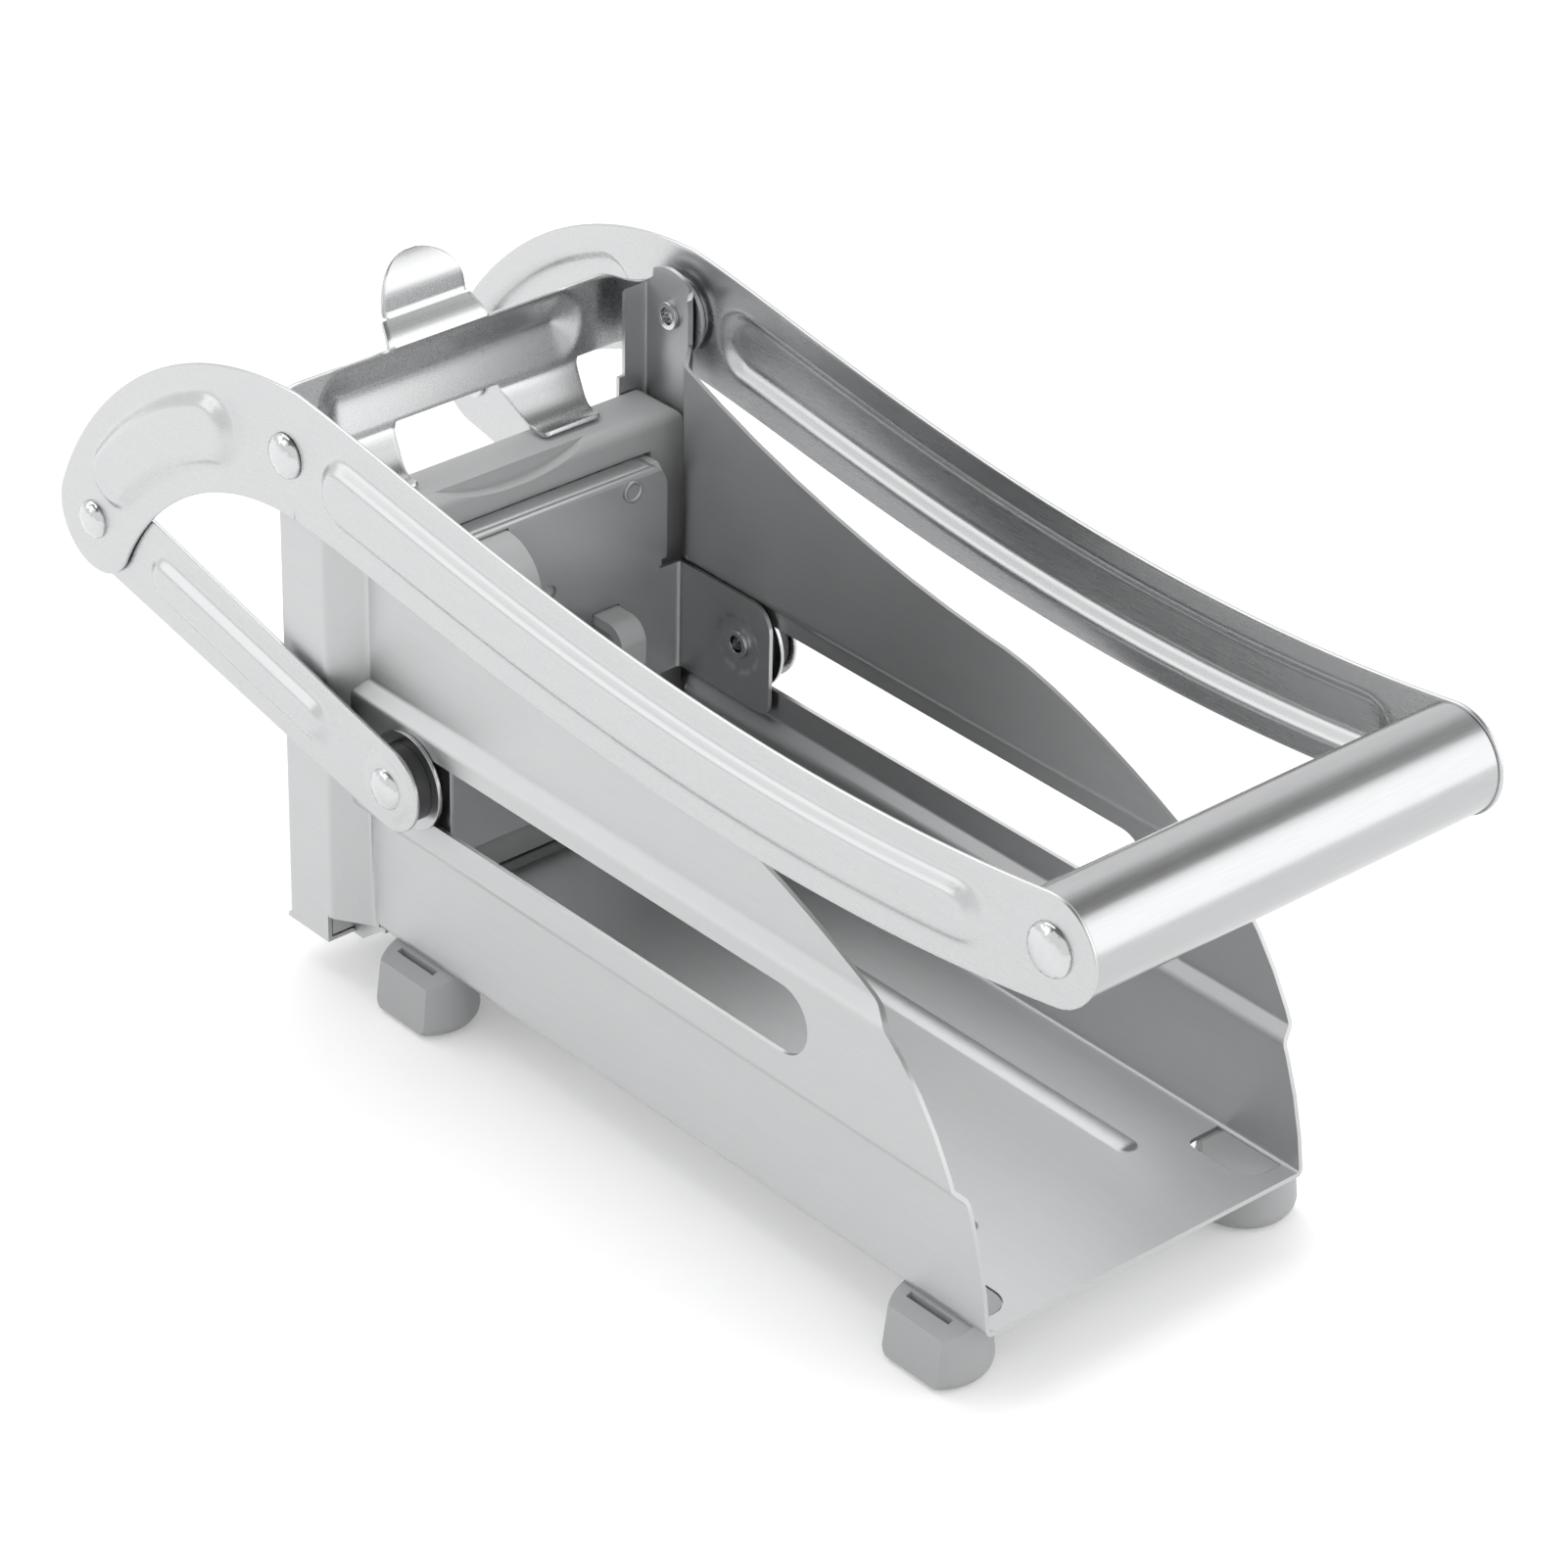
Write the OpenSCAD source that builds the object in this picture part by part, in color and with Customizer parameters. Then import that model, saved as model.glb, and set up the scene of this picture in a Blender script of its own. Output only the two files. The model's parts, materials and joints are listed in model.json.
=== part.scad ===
// Lever chip cutter: a pressed steel channel with a crossed blade cassette in its rear box.
// Raising the handle swings the arms about the uprights, and two links pull the pusher forward.
// X points to the handle, Z up. Shapes are drawn from the front lip of the floor at x = 0 and
// the underside of the floor at z = 0, then moved so that the feet stand on z = 0.

/* [Sheet] */
// thickness of the pressed sheet
sheet_t = 0.8; // [0.6:0.05:1.2]
// outside radius of a sharp bend
bend_r = 1.6; // [1.2:0.1:2.4]

/* [Box] */
// width over the outside of the rear box
box_w = 82; // [70:1:104]
// how far each side of the box stands out of its wall
flare_out = 5.4; // [5:0.1:9]
// length of the flare between wall and box
flare_l = 5; // [3:0.1:8]
// how far the box floor lies below the channel floor
box_drop = 4.2; // [2:0.1:8]
// width of the rear lip below its step
lip_low = 7; // [5:0.1:9]
// width of the rear lip above its step
lip_high = 5.7; // [3:0.1:8]

/* [Channel] */
// level floor, from the front lip to the ramp
floor_l = 155.5; // [130:0.5:190]
// height of the slot's middle line above the floor underside
slot_z = 37.5; // [32:0.1:45]
// height of the slot in the rail
slot_h = 12.8; // [8:0.1:16]
// how far the guide rail stands out of the wall
rail_out = 2.3; // [1.8:0.1:3.5]
// lower fold line of the guide rail below the slot's middle line
rail_below = 14.6; // [11:0.1:18]
// upper fold line of the guide rail above the slot's middle line
rail_above = 12.3; // [10:0.1:16]

/* [Window] */
// height of the cutting window
window_h = 63; // [50:0.2:76]
// lower edge of the window above the floor underside
window_z = 5.8; // [4:0.1:9]
// cells of the cutting grid across
cells_across = 6; // [4:1:8]
// cells of the cutting grid up
cells_up = 6; // [4:1:8]

/* [Cassette] */
// thickness of the cassette along the channel
cassette_t = 10.4; // [8:0.1:13]
// frame above the window
frame_top = 6.4; // [5:0.1:9]
// thickness of a blade
blade_t = 0.5; // [0.3:0.05:0.8]
// depth of a blade along the channel
blade_l = 7; // [5:0.1:7.8]

/* [Lever] */
// pivot of the lever behind the front of the box
pivot_in = 5.6; // [4:0.1:8]
// pivot of the lever above the cassette
pivot_rise = 16.2; // [14:0.1:20]
// link pin behind the pivot
tail_back = 57.9; // [45:0.1:70]
// link pin below the pivot
tail_drop = 36.2; // [25:0.1:45]
// handle axis in front of the pivot
reach = 186.5; // [150:0.5:230]
// handle axis below the pivot
handle_drop = 6; // [0:0.5:20]
// opening angle of the lever
lever_swing = 90; // [60:1:95]
// half width of the arm at its tail
tail_half = 10.3; // [8:0.1:13]
// half width of the arm at its crest
crest_half = 12.1; // [9:0.1:15]
// half width of the arm at the handle
grip_half = 9.6; // [8:0.1:12]
// height of the pressed ribs in the arms
rib_rise = 2; // [1:0.1:3]
// outside diameter of the handle
handle_d = 18.4; // [14:0.2:26]

/* [Links] */
// half width of the link at the lever
link_half_rear = 9.5; // [7:0.1:12]
// half width of the link at the pusher
link_half_front = 8; // [7:0.1:12]
// height of the pressed rib in the links
link_rib_rise = 1.5; // [0.8:0.1:2.5]

/* [Rivets] */
// diameter of the rivet shanks
shank_d = 4.4; // [3.6:0.1:5.2]
// dome diameter at the lever's pivot
pivot_dome_d = 8.4; // [6:0.1:11]
// dome diameter at the link's rear pin
link_dome_d = 7.2; // [6:0.1:11]
// dome diameter at the pusher pin
pin_dome_d = 7.8; // [6:0.1:11]
// dome diameter at the handle
handle_dome_d = 9.3; // [6:0.1:12]
// height of the domes
dome_h = 2; // [1:0.1:3]
// radial play of a turning joint on its shank
play = 0.05; // [0.02:0.01:0.1]

/* [Pusher] */
// clearance between the pusher plate and the walls
plate_gap = 2.5; // [1:0.1:4]
// pins in front of the plate
pin_reach = 15.6; // [12:0.1:17]
// ears in front of the pins
ear_past = 8.8; // [7.5:0.1:12]
// gap between a tooth and the blades round it
tooth_gap = 0.5; // [0.3:0.05:1]
// thickness of the tooth block's base
block_t = 3.6; // [2.4:0.1:5]

/* [Clip] */
// front face of the clip's bar behind the box
bar_gap = 3.5; // [2.5:0.1:7]
// height of the bar
bar_h = 14.2; // [12:0.1:18]
// lower edge of the bar below the pivot
bar_drop = 8.4; // [7:0.1:11]
// width of the thumb tab at its root
tab_root_w = 21.8; // [18:0.1:28]
// width of the thumb tab along its blade
tab_w = 16.7; // [12:0.1:19]
// how far the tab stands to the near side of the middle
tab_off = 2.5; // [0:0.1:6]

/* [Feet] */
// height of the feet below the floor
foot_h = 11.8; // [8:0.1:18]
// radius of a foot at the ground
foot_r = 9.1; // [7.5:0.1:10.5]
// middle of the front feet behind the front lip
front_foot_back = 12.1; // [11:0.1:30]
// middle of the rear feet in front of the ramp
rear_foot_in = 11.4; // [11:0.1:30]

/* [Hidden] */
$fn = 48;
// parts that can be shown by themselves

// steps along a curve, round an end cap, round a bend and over a dome
curve_steps = 16;
cap_steps = 10;
bend_steps = 4;
dome_steps = 6;
// overrun of every cut past the faces it opens
over = 1;
// gap between flat faces that slide on each other
slide_gap = 0.1;
// gap between a piece and the seat that it rests on
seat_gap = 0.3;

// width over the outside of the side walls
chamber_w = box_w - 2 * flare_out;
// faces across the machine, as distances from its middle plane
wall_out = chamber_w / 2;
wall_in = wall_out - sheet_t;
rail_face = wall_out + rail_out;
recess_face = rail_face - sheet_t;
ear_gap = 0.9;
ear_out = recess_face - ear_gap;
ear_in = ear_out - sheet_t;
box_out = box_w / 2;
box_in = box_out - sheet_t;
clip_in = box_out + seat_gap;
clip_out = clip_in + sheet_t;
pivot_washer_in = clip_out + slide_gap;
arm_in = pivot_washer_in + sheet_t + slide_gap;
arm_out = arm_in + sheet_t;
link_in = arm_in - seat_gap - sheet_t;
link_out = link_in + sheet_t;
slot_washer_in = rail_face + slide_gap;
slot_washer_out = slot_washer_in + sheet_t;
pin_end = link_in - seat_gap;

// widths that fit between the walls
window_margin = 2.4;
plate_w = 2 * (wall_in - plate_gap);
window_w = 2 * (wall_in - window_margin);

// places along the machine, as distances behind the front lip
wall_past = 2.3;
cassette_gap = 1.2;
rest_gap = 0.4;
wall_l = floor_l + wall_past;
box_front = wall_l + flare_l;
cassette_front = box_front + cassette_gap;
cassette_back = cassette_front + cassette_t;
box_back = cassette_back + seat_gap + sheet_t;
bar_front = box_back + bar_gap;
pivot_back = box_front + pivot_in;
plate_back = cassette_front - rest_gap - block_t - sheet_t;
plate_rear = plate_back + sheet_t;
pin_back = plate_back - pin_reach;
rear_foot_back = floor_l - rear_foot_in;

// heights above the floor underside
window_top = window_z + window_h;
cassette_top = window_top + frame_top;
cassette_low = -box_drop + sheet_t + seat_gap;
pivot_z = cassette_top + pivot_rise;
wall_dip = 4.5;
wall_h = pivot_z - wall_dip;
rail_low = slot_z - rail_below;
rail_high = slot_z + rail_above;

pivot = [-pivot_back, pivot_z];
link_pin = pivot + [-tail_back, -tail_drop];
pusher_pin = [-pin_back, slot_z];
handle = pivot + [reach, -handle_drop];
link_len = norm(pusher_pin - link_pin);
open_link_pin = pivot + turn(link_pin - pivot, lever_swing);
open_drop = open_link_pin[1] - slot_z;
travel = open_link_pin[0] + sqrt(link_len * link_len - open_drop * open_drop) + pin_back;
shank_r = shank_d / 2;
bore_r = shank_r + play;

// the whole part is moved so that its box is centred over the feet's ground
shift_x = -(link_pin[0] - tail_half + handle[0] + grip_half) / 2;

// plane curves and outlines
function lerp(a, b, t) = a + (b - a) * t;
function unit2(v) = v / norm(v);
function side(v) = [-v[1], v[0]];
function turn(v, a) = [v[0] * cos(a) - v[1] * sin(a), v[0] * sin(a) + v[1] * cos(a)];
function last(p) = p[len(p) - 1];
function reversed(p) = [for (i = [len(p) - 1 : -1 : 0]) p[i]];
function flipped(p) = [for (q = p) [-q[0], q[1]]];
function spread(p, w, h) = [for (q = p) [q[0] * w, q[1] * h]];
function bezier(p, t) =
    let (u = 1 - t) u * u * u * p[0] + 3 * u * u * t * p[1] + 3 * u * t * t * p[2] + t * t * t * p[3];
function curve(p, t0, t1, steps) = [for (k = [0 : steps]) bezier(p, lerp(t0, t1, k / steps))];
function arc(c, r, a0, a1, steps) =
    [for (k = [0 : steps]) let (a = lerp(a0, a1, k / steps)) c + r * [cos(a), sin(a)]];

// a line with its corners rounded to radius r
function soften(p, r) = concat([p[0]], [for (i = [1 : len(p) - 2])
    let (a = unit2(p[i] - p[i - 1]), b = unit2(p[i + 1] - p[i]), bend = acos(a * b),
        back = r * tan(bend / 2))
    for (k = [0 : bend_steps]) let (t = k / bend_steps, u = 1 - t)
        p[i] - u * u * back * a + t * t * back * b], [last(p)]);

// offset direction at a point of a line, longer at a corner so that the sheet keeps its thickness
function mitre(p, i) =
    let (a = unit2(p[max(i, 1)] - p[max(i, 1) - 1]),
        j = min(i, len(p) - 2), b = unit2(p[j + 1] - p[j]), m = side(a) + side(b))
    m / (1 + side(a) * side(b));

// closed outline of a sheet whose one face follows a line, thickness to the left
function sheet_outline(p, t) =
    concat(p, [for (i = [len(p) - 1 : -1 : 0]) p[i] + t * mitre(p, i)]);

// closed outline of a strip of changing half width with round ends
function strip(line, half) =
    let (n = len(line), d = [for (i = [0 : n - 1])
        unit2(line[min(i + 1, n - 1)] - line[max(i - 1, 0)])])
    concat([for (i = [0 : n - 1]) line[i] + half[i] * side(d[i])],
        [for (k = [1 : cap_steps - 1])
            line[n - 1] + half[n - 1] * turn(side(d[n - 1]), -180 * k / cap_steps)],
        [for (i = [n - 1 : -1 : 0]) line[i] - half[i] * side(d[i])],
        [for (k = [1 : cap_steps - 1])
            line[0] - half[0] * turn(side(d[0]), -180 * k / cap_steps)]);

// building blocks of the pressed pieces
// drawn in the side view, thickness growing outward from the middle plane on the near side
module near_side() rotate([90, 0, 0]) children();
module far_side() mirror([0, 1, 0]) near_side() children();
module both_sides() {
    near_side() children();
    far_side() children();
}

// pressed rib as a hollow shell: its flank as shares of half width inward and of rise upward
rib_flank_shares = [[0, 0], [0.17, 0.45], [0.37, 0.85], [0.57, 1]];
// how far the inside of the rib's foot lies within its outline, and how far it laps the sheet
rib_foot = 0.3;
rib_lap = rib_foot / 2;
// clockwise outline drawn inward by an equal distance all round
function inward(p, d) = let (n = len(p)) [for (i = [0 : n - 1])
    let (a = side(unit2(p[i] - p[(i + n - 1) % n])), b = side(unit2(p[(i + 1) % n] - p[i])))
    p[i] - d * (a + b) / (1 + a * b)];
// triangles that fill an outline made by strip(), from one end cap to the other
function strip_fill(n, turned) = let (h = cap_steps / 2, tip = n / 2 - h) [for (i = [-h : tip - 1])
    for (s = [0, 1]) if (s == 0 ? i + 1 < tip : i > -h)
        let (a = (i + n) % n, b = (i + 1 + n) % n, mate_a = (2 * n - cap_steps - i) % n,
            mate_b = (2 * n - cap_steps - i - 1) % n, far = s == 0 ? b : mate_b,
            next = s == 0 ? mate_b : mate_a)
        turned ? [a, next, far] : [a, far, next]];
// rings run clockwise seen from outside: outer ones from the inner face up, then the hollow's
module rib_shell(outline, half, base, rise) {
    flank = rib_flank_shares;
    outer = concat([outline], [for (s = flank) inward(outline, s[0] * half)]);
    hollow = [for (s = flank) inward(outline, s[0] * half + rib_foot)];
    levels = concat([base], [for (s = flank) base + sheet_t + s[1] * rise],
        [for (s = flank) base + s[1] * rise]);
    rings = concat(outer, hollow);
    n = len(rings[0]);
    k = len(outer);
    m = len(rings);
    polyhedron(
        points = [for (j = [0 : m - 1]) for (q = rings[j]) [q[0], q[1], levels[j]]],
        faces = concat(
            [for (j = [0 : k - 2]) for (i = [0 : n - 1]) for (s = [0, 1])
                let (a = j * n + i, b = j * n + (i + 1) % n)
                s == 0 ? [a, b, b + n] : [a, b + n, a + n]],
            [for (f = strip_fill(n, false)) [for (i = f) (k - 1) * n + i]],
            [for (j = [k : m - 2]) for (i = [0 : n - 1]) for (s = [0, 1])
                let (a = j * n + i, b = j * n + (i + 1) % n)
                s == 0 ? [a, b + n, b] : [a, a + n, b + n]],
            [for (f = strip_fill(n, true)) [for (i = f) (m - 1) * n + i]],
            [for (i = [0 : n - 1]) for (s = [0, 1])
                let (j = (i + 1) % n, a = k * n + i, b = k * n + j)
                s == 0 ? [j, i, a] : [j, a, b]]));
}
// flat strip with an opening for each rib
module ribbed_sheet(outline, footprints, base) translate([0, 0, base]) difference() {
    linear_extrude(sheet_t) polygon(outline);
    for (f = footprints) translate([0, 0, -over]) linear_extrude(sheet_t + 2 * over) polygon(f);
}

module dome(r, h) rotate_extrude() polygon(concat([[0, 0]], arc_dome(r, h)));
function arc_dome(r, h) =
    [for (k = [0 : dome_steps]) let (a = 90 * k / dome_steps) [r * cos(a), h * sin(a)]];

module ring_at(c, r_out, r_in, from, to) translate([c[0], c[1], from]) difference() {
    cylinder(r = r_out, h = to - from);
    translate([0, 0, -over]) cylinder(r = r_in, h = to - from + 2 * over);
}

module hole(c, r, from, to) translate([c[0], c[1], from - over])
    cylinder(r = r, h = to - from + 2 * over);

// rivet from an open rolled tail at from to a dome that starts at to
tail_rim = 0.4;
tail_rim_t = 0.8;
tail_bore_r = 1.6;
module rivet(c, from, to, dome_d, dome_rise) translate([c[0], c[1], 0]) difference() {
    union() {
        translate([0, 0, to]) dome(dome_d / 2, dome_rise);
        translate([0, 0, from - tail_rim_t]) cylinder(r = shank_r, h = to - from + tail_rim_t);
        translate([0, 0, from - tail_rim_t]) cylinder(r = shank_r + tail_rim, h = tail_rim_t);
    }
    translate([0, 0, from - tail_rim_t - over]) cylinder(r = tail_bore_r, h = tail_rim_t + 2 * over);
}

// the bent body, from the front lip to the rear box
// wall edge from the front lip to the flare: three curves in shares of wall length and height
wall_edge_shares = [[0, 0], [-0.013, 0.23], [-0.07, 0.437], [-0.1555, 0.5524],
    [-0.241, 0.64], [-0.38, 0.748], [-0.4753, 0.7687],
    [-0.634, 0.792], [-0.8365, 0.872], [-1, 1]];
wall_edge = let (q = spread(wall_edge_shares, wall_l, wall_h)) concat(
    curve([q[0], q[1], q[2], q[3]], 0, 1, curve_steps / 2),
    curve([q[3], q[4], q[5], q[6]], 1 / curve_steps, 1, curve_steps / 2),
    curve([q[6], q[7], q[8], q[9]], 1 / curve_steps, 1, curve_steps / 2));

// upright: radius of its head about the pivot, its front edge and the nib under the head
head_r = 8.8;
head_angles = [48, 120];
upright_front = 6.2;
nib_out = 7.5;
nib_low = 3.1;
nib_high = 6.2;
flare_rise = 1.1;
shoulder_z = 5.8;
shoulder_cut = 2.4;
// lower edge of the flare and the cut in front of the box side
flare_lift = 1.2;
toe = 1.1;
side_outline = concat(wall_edge,
    [pivot + [upright_front, wall_h + flare_rise - pivot_z], pivot + [upright_front, nib_low],
        pivot + [nib_out, nib_high]],
    arc(pivot, head_r, head_angles[0], head_angles[1], cap_steps),
    [[-box_back + shoulder_cut, pivot_z + shoulder_z], [-box_back, pivot_z + shoulder_z - shoulder_cut],
        [-box_back, -box_drop], [-box_front - toe, -box_drop], [-box_front - toe, flare_lift],
        [-box_front, flare_lift], [-wall_l, 0]]);

half_section = soften([[0, 0], [wall_out, 0], [wall_out, rail_low],
    [rail_face, rail_low + rail_out], [rail_face, rail_high - rail_out], [wall_out, rail_high],
    [wall_out, wall_h + over]], bend_r);
section_tail = [for (i = [1 : len(half_section) - 1]) half_section[i]];
channel_section = sheet_outline(concat(reversed(flipped(section_tail)), section_tail), sheet_t);

// plan of flare, box side and rear lip
plan_line = soften([[-wall_l + over, wall_out], [-wall_l, wall_out], [-box_front, box_out],
    [-box_back, box_out], [-box_back, box_out - lip_low]], bend_r);
// where the lip narrows, above the cassette
lip_step = 3.3;
lip_step_z = cassette_top + lip_step;

// ramp between the floors
ramp_l = 5.5;
ramp_back = floor_l + ramp_l;
tail_floor = sheet_outline([[-box_back, -box_drop], [-ramp_back, -box_drop], [-floor_l, 0],
    [-floor_l + over, 0]], sheet_t);

// stiffening beads in the floor
bead_y = 18;
bead_w = 4.6;
bead_rise = 0.8;
bead_front = 24;
bead_in = 17.5;
bead_back = floor_l - bead_in;
bead_r = (bead_w * bead_w / 4 + bead_rise * bead_rise) / (2 * bead_rise);

// floor openings for the feet's plugs: length, width, corner radii and place ahead of the foot
opening_l = 14.8;
opening_w = 7.6;
opening_front_r = 4.2;
opening_rear_r = 1.8;
opening_ahead = 1.2;
opening_out = wall_out - bend_r;

jog_in = sheet_t * tan(22.5);
recess_low = rail_low + jog_in;
recess_high = rail_high - jog_in;

module across(w) rotate([90, 0, 0]) linear_extrude(w, center = true) children();

module channel_walls() intersection() {
    translate([-box_front, 0, 0]) rotate([90, 0, 90]) linear_extrude(box_front)
        polygon(channel_section);
    across(box_w) polygon(side_outline);
    translate([0, 0, -over]) linear_extrude(wall_h + 2 * over) polygon([[over, -box_out],
        [over, box_out], [-box_front, box_out], [-wall_l, wall_out], [-wall_l, -wall_out],
        [-box_front, -box_out]]);
}

module box_side() difference() {
    intersection() {
        translate([0, 0, -box_drop - over]) linear_extrude(box_drop + pivot_z + head_r + 2 * over)
            polygon(sheet_outline(plan_line, sheet_t));
        across(box_w + over) polygon(side_outline);
    }
    // the rail's inside opens into the box
    translate([-box_front, 0, 0]) rotate([90, 0, 90]) linear_extrude(flare_l + 2 * over)
        polygon([[0, recess_low], [wall_in, recess_low], [recess_face, recess_low + rail_out],
            [recess_face, recess_high - rail_out], [wall_in, recess_high], [0, recess_high]]);
    translate([-box_back - over, 0, lip_step_z])
        cube([bend_r + sheet_t + over, box_out - lip_high, pivot_z]);
}

module bead(lower) translate([0, 0, sheet_t + bead_rise - bead_r - lower]) {
    translate([-bead_back, 0, 0]) rotate([0, 90, 0]) cylinder(r = bead_r, h = bead_back - bead_front);
    translate([-bead_front, 0, 0]) sphere(r = bead_r);
    translate([-bead_back, 0, 0]) sphere(r = bead_r);
}

// plan of an opening beside the far wall, drawn inward by grow where it is negative
function opening_plan(grow) = concat(
    [[-opening_l / 2 - grow, opening_out]],
    arc([-opening_l / 2 + opening_rear_r, opening_out - opening_w + opening_rear_r],
        opening_rear_r + grow, 180, 270, bend_steps),
    arc([opening_l / 2 - opening_front_r, opening_out - opening_w + opening_front_r],
        opening_front_r + grow, 270, 360, bend_steps * 2),
    [[opening_l / 2 + grow, opening_out]]);
module foot_opening(back) for (s = [0, 1]) mirror([0, s, 0])
    translate([-back + opening_ahead, 0, -over]) linear_extrude(sheet_t + 2 * over)
    polygon(opening_plan(0));

// cheek between the ramp and the flare
module ramp_cheek() translate([0, 0, wall_in]) linear_extrude(sheet_t) polygon([
    [-floor_l - sheet_t, 0], [-ramp_back, -box_drop], [-ramp_back - sheet_t, -box_drop],
    [-box_front - toe, -box_drop / 2], [-box_front - toe, flare_lift], [-wall_l, flare_lift],
    [-wall_l, bend_r], [-floor_l - sheet_t, bend_r]]);

module body_channel() color([0.78, 0.79, 0.8]) difference() {
    union() {
        difference() {
            channel_walls();
            translate([-wall_l - over, -wall_in, -over])
                cube([wall_l - floor_l + over, 2 * wall_in, sheet_t + 2 * over]);
        }
        for (s = [-1, 1]) intersection() {
            translate([0, s * bead_y, 0]) bead(0);
            translate([-floor_l, -wall_out, sheet_t / 2]) cube([floor_l, chamber_w, wall_h]);
        }
        box_side();
        mirror([0, 1, 0]) box_side();
        both_sides() ramp_cheek();
        intersection() {
            across(box_w) polygon(tail_floor);
            translate([0, 0, -box_drop - over]) linear_extrude(box_drop + 2 * over) polygon([
                [-floor_l + over, -wall_out], [-floor_l + over, wall_out],
                [-box_front - toe, wall_out], [-box_front - toe, box_out], [-box_back, box_out],
                [-box_back, -box_out], [-box_front - toe, -box_out],
                [-box_front - toe, -wall_out]]);
        }
    }
    slot_front = pusher_pin + [travel, 0];
    slot_rear = pusher_pin - [over, 0];
    both_sides() {
        hole(slot_front, slot_h / 2, wall_in, rail_face);
        hole(slot_rear, slot_h / 2, wall_in, rail_face);
        translate([slot_rear[0], slot_z - slot_h / 2, wall_in - over])
            cube([slot_front[0] - slot_rear[0], slot_h, rail_face - wall_in + 2 * over]);
        hole(pivot, shank_r + play / 2, box_in, box_out);
    }
    foot_opening(front_foot_back);
    foot_opening(rear_foot_back);
    for (s = [-1, 1]) translate([0, s * bead_y, 0]) bead(sheet_t);
}

// feet: a cone cut flat outside the wall, with a sloping ledge and a plug through the floor
foot_in = 1.2;
foot_y = wall_out - foot_in;
foot_taper = 0.9;
foot_edge_r = 2.6;
// ledge from under the wall to the top of the flat, and how far the flat leans out below
ledge_in = 1.2;
ledge_drop = 1.7;
flat_out = 4.2;
flat_top = wall_out + flat_out;
flat_lean = 1;
flat_edge = 1;
// slit in the ledge beside the wall
slit_l = 10;
slit_w = 1.2;
slit_deep = 2.6;
slit_back = 0.5;
// plug: clearances in its opening, cut corner and height below the floor's upper face
plug_gap = 0.25;
plug_rear_gap = 1.4;
plug_cut = 2.6;
plug_sink = 0.2;
module foot() color([0.62, 0.63, 0.64]) {
    difference() {
        translate([0, foot_y, -foot_h]) rotate_extrude() polygon(concat([[0, 0]],
            arc([foot_r - foot_edge_r, foot_edge_r], foot_edge_r, -90, 0, bend_steps),
            [[foot_r - foot_taper, foot_h], [0, foot_h]]));
        rotate([90, 0, 90]) translate([0, 0, -foot_r - over]) linear_extrude(2 * (foot_r + over))
            polygon([[wall_out - ledge_in, over], [wall_out - ledge_in, 0],
                [flat_top, -ledge_drop], [flat_top + flat_lean, -foot_h + flat_edge],
                [flat_top + flat_lean - flat_edge, -foot_h],
                [flat_top + flat_lean - flat_edge, -foot_h - over],
                [foot_y + foot_r + over, -foot_h - over], [foot_y + foot_r + over, over]]);
        translate([-slit_back - slit_l / 2, wall_out, -slit_deep])
            cube([slit_l, slit_w, slit_deep + over]);
    }
    // plug that snaps into the floor
    translate([opening_ahead, 0, -sheet_t]) linear_extrude(2 * sheet_t - plug_sink)
        intersection() {
            polygon(opening_plan(-plug_gap));
            polygon([[-opening_l / 2 + plug_rear_gap, opening_out],
                [-opening_l / 2 + plug_rear_gap, opening_out - opening_w + plug_cut],
                [-opening_l / 2 + plug_rear_gap + plug_cut, opening_out - opening_w],
                [opening_l / 2, opening_out - opening_w], [opening_l / 2, opening_out]]);
        }
}
module foot_front_near() mirror([0, 1, 0]) foot_front_far();
module foot_front_far() translate([-front_foot_back, 0, 0]) foot();
module foot_rear_near() mirror([0, 1, 0]) foot_rear_far();
module foot_rear_far() translate([-rear_foot_back, 0, 0]) foot();

// lever: two ribbed arms joined by the handle
// arm's middle line: tail in shares of the link pin's offset, front in shares of the reach
tail_shares = [[1, 1], [0.857, 0.508], [0.477, -0.022], [-0.041, -0.017]];
crest = pivot + [tail_back * 0.041, tail_drop * 0.017];
front_shares = [[0.174, -0.010], [0.549, -0.107]];
tail_line = [for (s = tail_shares) pivot - [s[0] * tail_back, s[1] * tail_drop]];
front_line = [last(tail_line), pivot + front_shares[0] * reach, pivot + front_shares[1] * reach, handle];
front_half_shares = [0.934, 0.9];
front_half = [crest_half, front_half_shares[0] * crest_half, front_half_shares[1] * crest_half,
    grip_half];
arm_line = concat(curve(tail_line, 0, 1, curve_steps),
    curve(front_line, 1 / curve_steps, 1, curve_steps));
arm_half = concat([for (k = [0 : curve_steps]) lerp(tail_half, crest_half, k / curve_steps)],
    [for (k = [0 : curve_steps])
        bezier(front_half, lerp(1 / curve_steps, 1, k / curve_steps))]);
// where the ribs start and end along the two curves, and their half widths
tail_rib_shares = [0.22, 0.72];
front_rib_shares = [0.135, 0.92];
tail_rib_half = [6.5, 7];
front_rib_half = [7.1, 6];
rib_steps = 12;
tail_rib = strip(curve(tail_line, tail_rib_shares[0], tail_rib_shares[1], rib_steps),
    [for (k = [0 : rib_steps]) lerp(tail_rib_half[0], tail_rib_half[1], k / rib_steps)]);
front_rib = strip(curve(front_line, front_rib_shares[0], front_rib_shares[1], rib_steps),
    [for (k = [0 : rib_steps]) lerp(front_rib_half[0], front_rib_half[1], k / rib_steps)]);

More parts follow.
